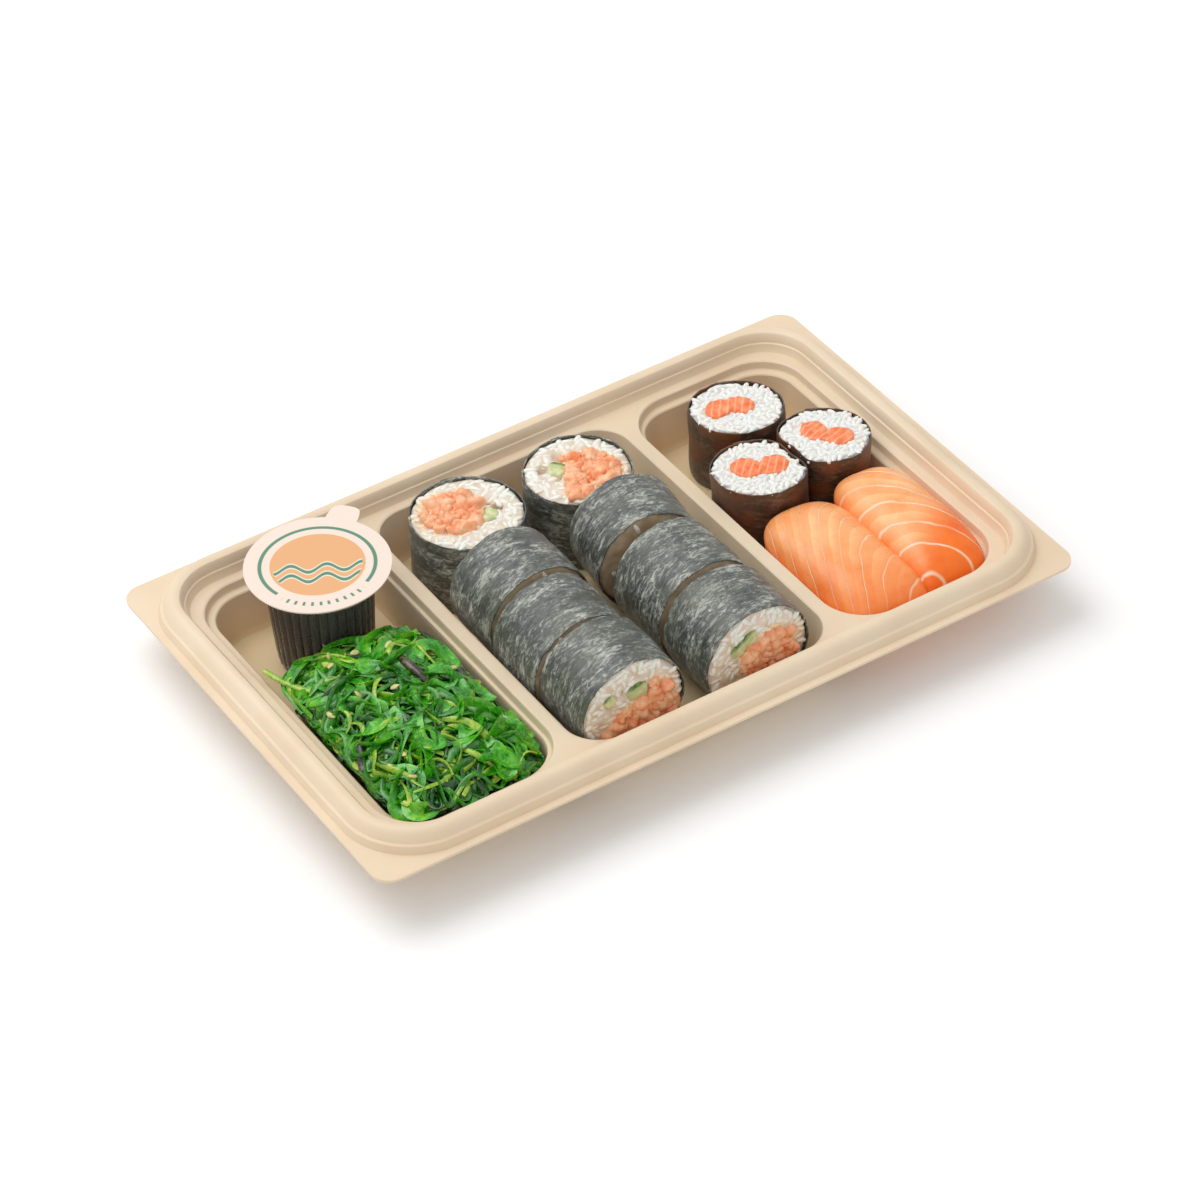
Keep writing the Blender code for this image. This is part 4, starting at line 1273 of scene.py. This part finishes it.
strandKinds = {
    # painted shade: the strands lying lowest in the heap get darker copies of the green
    "saladStrandsLowShaded": dict(look=("strandPaintedShade", (6, 40, 6), (18, 82, 12), (52, 138, 20)),
                             count=140, seed=31, halfWidth=0.0011, halfThickness=0.00035,
                             steps=(14, 26), stride=0.0026, curl=0.26, depth=(-0.0035, -0.0006),
                             tilt=1.0),
    "saladStrands": dict(look=("strandGreen", (16, 76, 8), (44, 136, 20), (96, 186, 34)),
                         count=95, seed=32, halfWidth=0.0012, halfThickness=0.00035,
                         steps=(12, 24), stride=0.0026, curl=0.30, depth=(-0.0016, 0.0008),
                         tilt=1.1),
    "saladStrandsPale": dict(look=("strandPale", (80, 140, 20), (150, 190, 44), (208, 216, 96)),
                             count=34, seed=33, halfWidth=0.00085, halfThickness=0.0003,
                             steps=(8, 18), stride=0.0026, curl=0.28, depth=(-0.0008, 0.0012),
                             tilt=1.0),
    "saladLeaves": dict(look=("leafGreen", (16, 90, 8), (58, 168, 20), (132, 206, 40)),
                        count=62, seed=34, halfWidth=0.0024, halfThickness=0.00026,
                        steps=(5, 11), stride=0.0026, curl=0.30, depth=(-0.0010, 0.0014),
                        tilt=1.1, cupped=0.0008),
    "saladDarkStrips": dict(look=("stripDark", (22, 18, 20), (48, 38, 42), (110, 96, 100), 0.0),
                            count=4, seed=37, halfWidth=0.0013, halfThickness=0.0004,
                            steps=(5, 7), stride=0.0024, curl=0.16, depth=(0.0006, 0.0016),
                            tilt=0.7),
    # single pieces that stand out, point by point in millimetres
    "saladStalk": dict(look=("stalkDark", (24, 16, 12), (52, 38, 30), (128, 104, 84), 0.0),
                       seed=41, halfWidth=0.0012, halfThickness=0.0008, tilt=0.2, paths=[
        [(-67.2, -4.2, 24.4), (-67.6, -7.0, 25.6), (-66.8, -12.6, 25.2), (-65.9, -16.0, 23.8),
         (-65.4, -19.2, 22.4)]]),
    "saladOlive": dict(look=("leafOlive", (46, 34, 14), (112, 92, 24), (170, 150, 50)),
                       seed=42, halfWidth=0.0034, halfThickness=0.0003, cupped=0.0009, tilt=0.5,
                       paths=[[(-57.5, -39.5, 17.0), (-60.5, -43.0, 18.6), (-63.0, -46.0, 18.2),
                               (-66.5, -48.5, 17.2)],
                              [(-60.0, -46.5, 17.4), (-62.5, -43.0, 18.8), (-66.0, -43.5, 18.2)]]),
    "saladPaleStalks": dict(look=("stalkPale", (84, 150, 30), (142, 192, 62), (196, 220, 110)),
                            seed=43, halfWidth=0.0013, halfThickness=0.0009, tilt=0.2, paths=[
        [(-62.0, -41.0, 19.0), (-58.5, -43.0, 18.8), (-54.6, -45.0, 17.6)],
        [(-57.8, -51.6, 16.6), (-63.0, -53.4, 17.2), (-70.5, -55.2, 16.4)],
        [(-97.6, 20.0, 17.6), (-97.0, 15.0, 18.2), (-95.4, 9.0, 18.4), (-92.0, 3.0, 19.4)]]),
}


def makeSaladCore():
    bpy.ops.mesh.primitive_uv_sphere_add(segments=96, ring_count=48, radius=1)
    core = bpy.context.object
    for vertex in core.data.vertices:
        level = math.acos(max(-1.0, min(1.0, -vertex.co.z))) / math.pi
        angle = math.atan2(vertex.co.y, vertex.co.x)
        c, s = math.cos(angle), math.sin(angle)
        corner = (abs(c) ** 6 + abs(s) ** 6) ** (-1 / 6)
        spread = 0.93 * min(1.0, level / 0.2) if level < 0.45 else \
            0.93 * (1 - ((level - 0.45) / 0.55)) ** 0.75
        x = saladMiddle.x + saladHalf.x * corner * spread * c
        y = saladMiddle.y + saladHalf.y * corner * spread * s
        share = between(level, 0.2, 0.45)
        z = saladLow.z + (saladHeight(x, y) - salad["coreDrop"] - saladLow.z) * share
        z += share * lumps((x, y, z), 0.005, 0.0014, 2.0)
        vertex.co = (x, y, z)
    recalculate(core)
    core.name = core.data.name = "saladCore"
    smoothShade(core, 80)
    shade = saladMaterial("saladShade", (8, 34, 6), (18, 62, 10), (34, 92, 14))
    finishPiece(core, shade, ["seaweed_salad"])


def seedShape():
    # a sesame seed, pointed at one end
    bpy.ops.mesh.primitive_uv_sphere_add(segments=10, ring_count=8, radius=1)
    seed = bpy.context.object
    for vertex in seed.data.vertices:
        x, y, z = vertex.co
        taper = 1 - 0.42 * max(z, 0) ** 1.3
        vertex.co = (z * 0.0016, x * 0.00098 * taper, y * 0.0005 * taper)
    recalculate(seed)
    return seed


def seedMaterial():
    material = newMaterial("sesame", roughness=0.35, specular=0.5, glow=0.1, glowDepth=0.001)
    where = objectPlace(material)
    husk = colours(material, noiseOf(material, where, 0.0012, 2),
                   [(0.3, tint(206, 196, 120)), (0.7, tint(236, 226, 170))])
    green = times(material, attribute(material, "tone"), 0.5)
    toShader(material, "Base Color", mixed(material, green, husk, tint(176, 178, 84)))
    bumped(material, noiseOf(material, where, 0.0006, 2), 0.00005, 0.4)
    return material


def makeSeeds():
    dice = random.Random(salad["seed"])
    seed = seedShape()
    places, tones = [], []
    while len(places) < salad["seeds"]:
        x = dice.uniform(saladLow.x, saladHigh.x)
        y = dice.uniform(saladLow.y, saladHigh.y)
        if saladShare(x, y) > 0.9:
            continue
        turn = Matrix.Rotation(dice.uniform(0, 2 * math.pi), 4, "Z") \
            @ Matrix.Rotation(dice.gauss(0, 0.35), 4, "Y") \
            @ Matrix.Rotation(dice.gauss(0, 0.4), 4, "X")
        places.append(Matrix.Translation((x, y, saladHeight(x, y) + dice.uniform(0.0008, 0.0019)))
                      @ turn @ Matrix.Scale(dice.uniform(0.85, 1.1), 4))
        tones.append(dice.random())
    seeds = copies(seed, places, "sesameSeeds", tones)
    bpy.data.objects.remove(seed)
    finishPiece(seeds, seedMaterial())


def makeSalad():
    makeSaladCore()
    for name, kind in strandKinds.items():
        made = makeStrands(name, kind, saladMaterial(*kind["look"]))
        print(name, len(made.data.polygons), "faces")
    makeSeeds()
    print("salad made")


# stage

stage = dict(size=4.0, worldLight=0.72, softboxPower=6.0, softboxSize=0.9,
             softboxPlace=(-0.25, 0.45, 1.0), fillPower=1.1, fillSize=0.7,
             fillPlace=(-0.7, -0.8, 0.7))


def makeStage():
    bpy.ops.mesh.primitive_plane_add(size=stage["size"], location=(0, 0, cadBox[0][2] - 0.0002))
    floor = bpy.context.object
    floor.name = "floor"
    paint = newMaterial("paleFloor", roughness=0.9, specular=0.1)
    seen = addNode(paint, "LightPath").outputs["Is Camera Ray"]
    shade = mixed(paint, noiseOf(paint, objectPlace(paint), 0.5, 1), tint(236, 236, 236),
                  tint(240, 240, 240))
    toShader(paint, "Base Color", mixed(paint, seen, shade, (1, 1, 1, 1)))
    floor.data.materials.append(paint)
    world = bpy.data.worlds.new("softWhite")
    world.use_nodes = True
    background = world.node_tree.nodes["Background"]
    background.inputs["Color"].default_value = (1, 1, 1, 1)
    background.inputs["Strength"].default_value = stage["worldLight"]
    bpy.context.scene.world = world
    for name in ("softbox", "fill"):
        place = Vector(stage[f"{name}Place"])
        bpy.ops.object.light_add(type="AREA", location=place)
        lamp = bpy.context.object
        lamp.name = name
        lamp.data.energy = stage[f"{name}Power"]
        lamp.data.shape = "SQUARE"
        lamp.data.size = stage[f"{name}Size"]
        lamp.rotation_euler = place.to_track_quat("Z", "Y").to_euler()
    print("stage set")


placeCamera()
makeTray()
makePot()
makeThickRolls()
makeThinRolls()
makeSalmonPieces()
makeSalad()
makeStage()
bpy.context.scene.view_settings.view_transform = "Standard"

deselect()
bpy.context.view_layer.update()
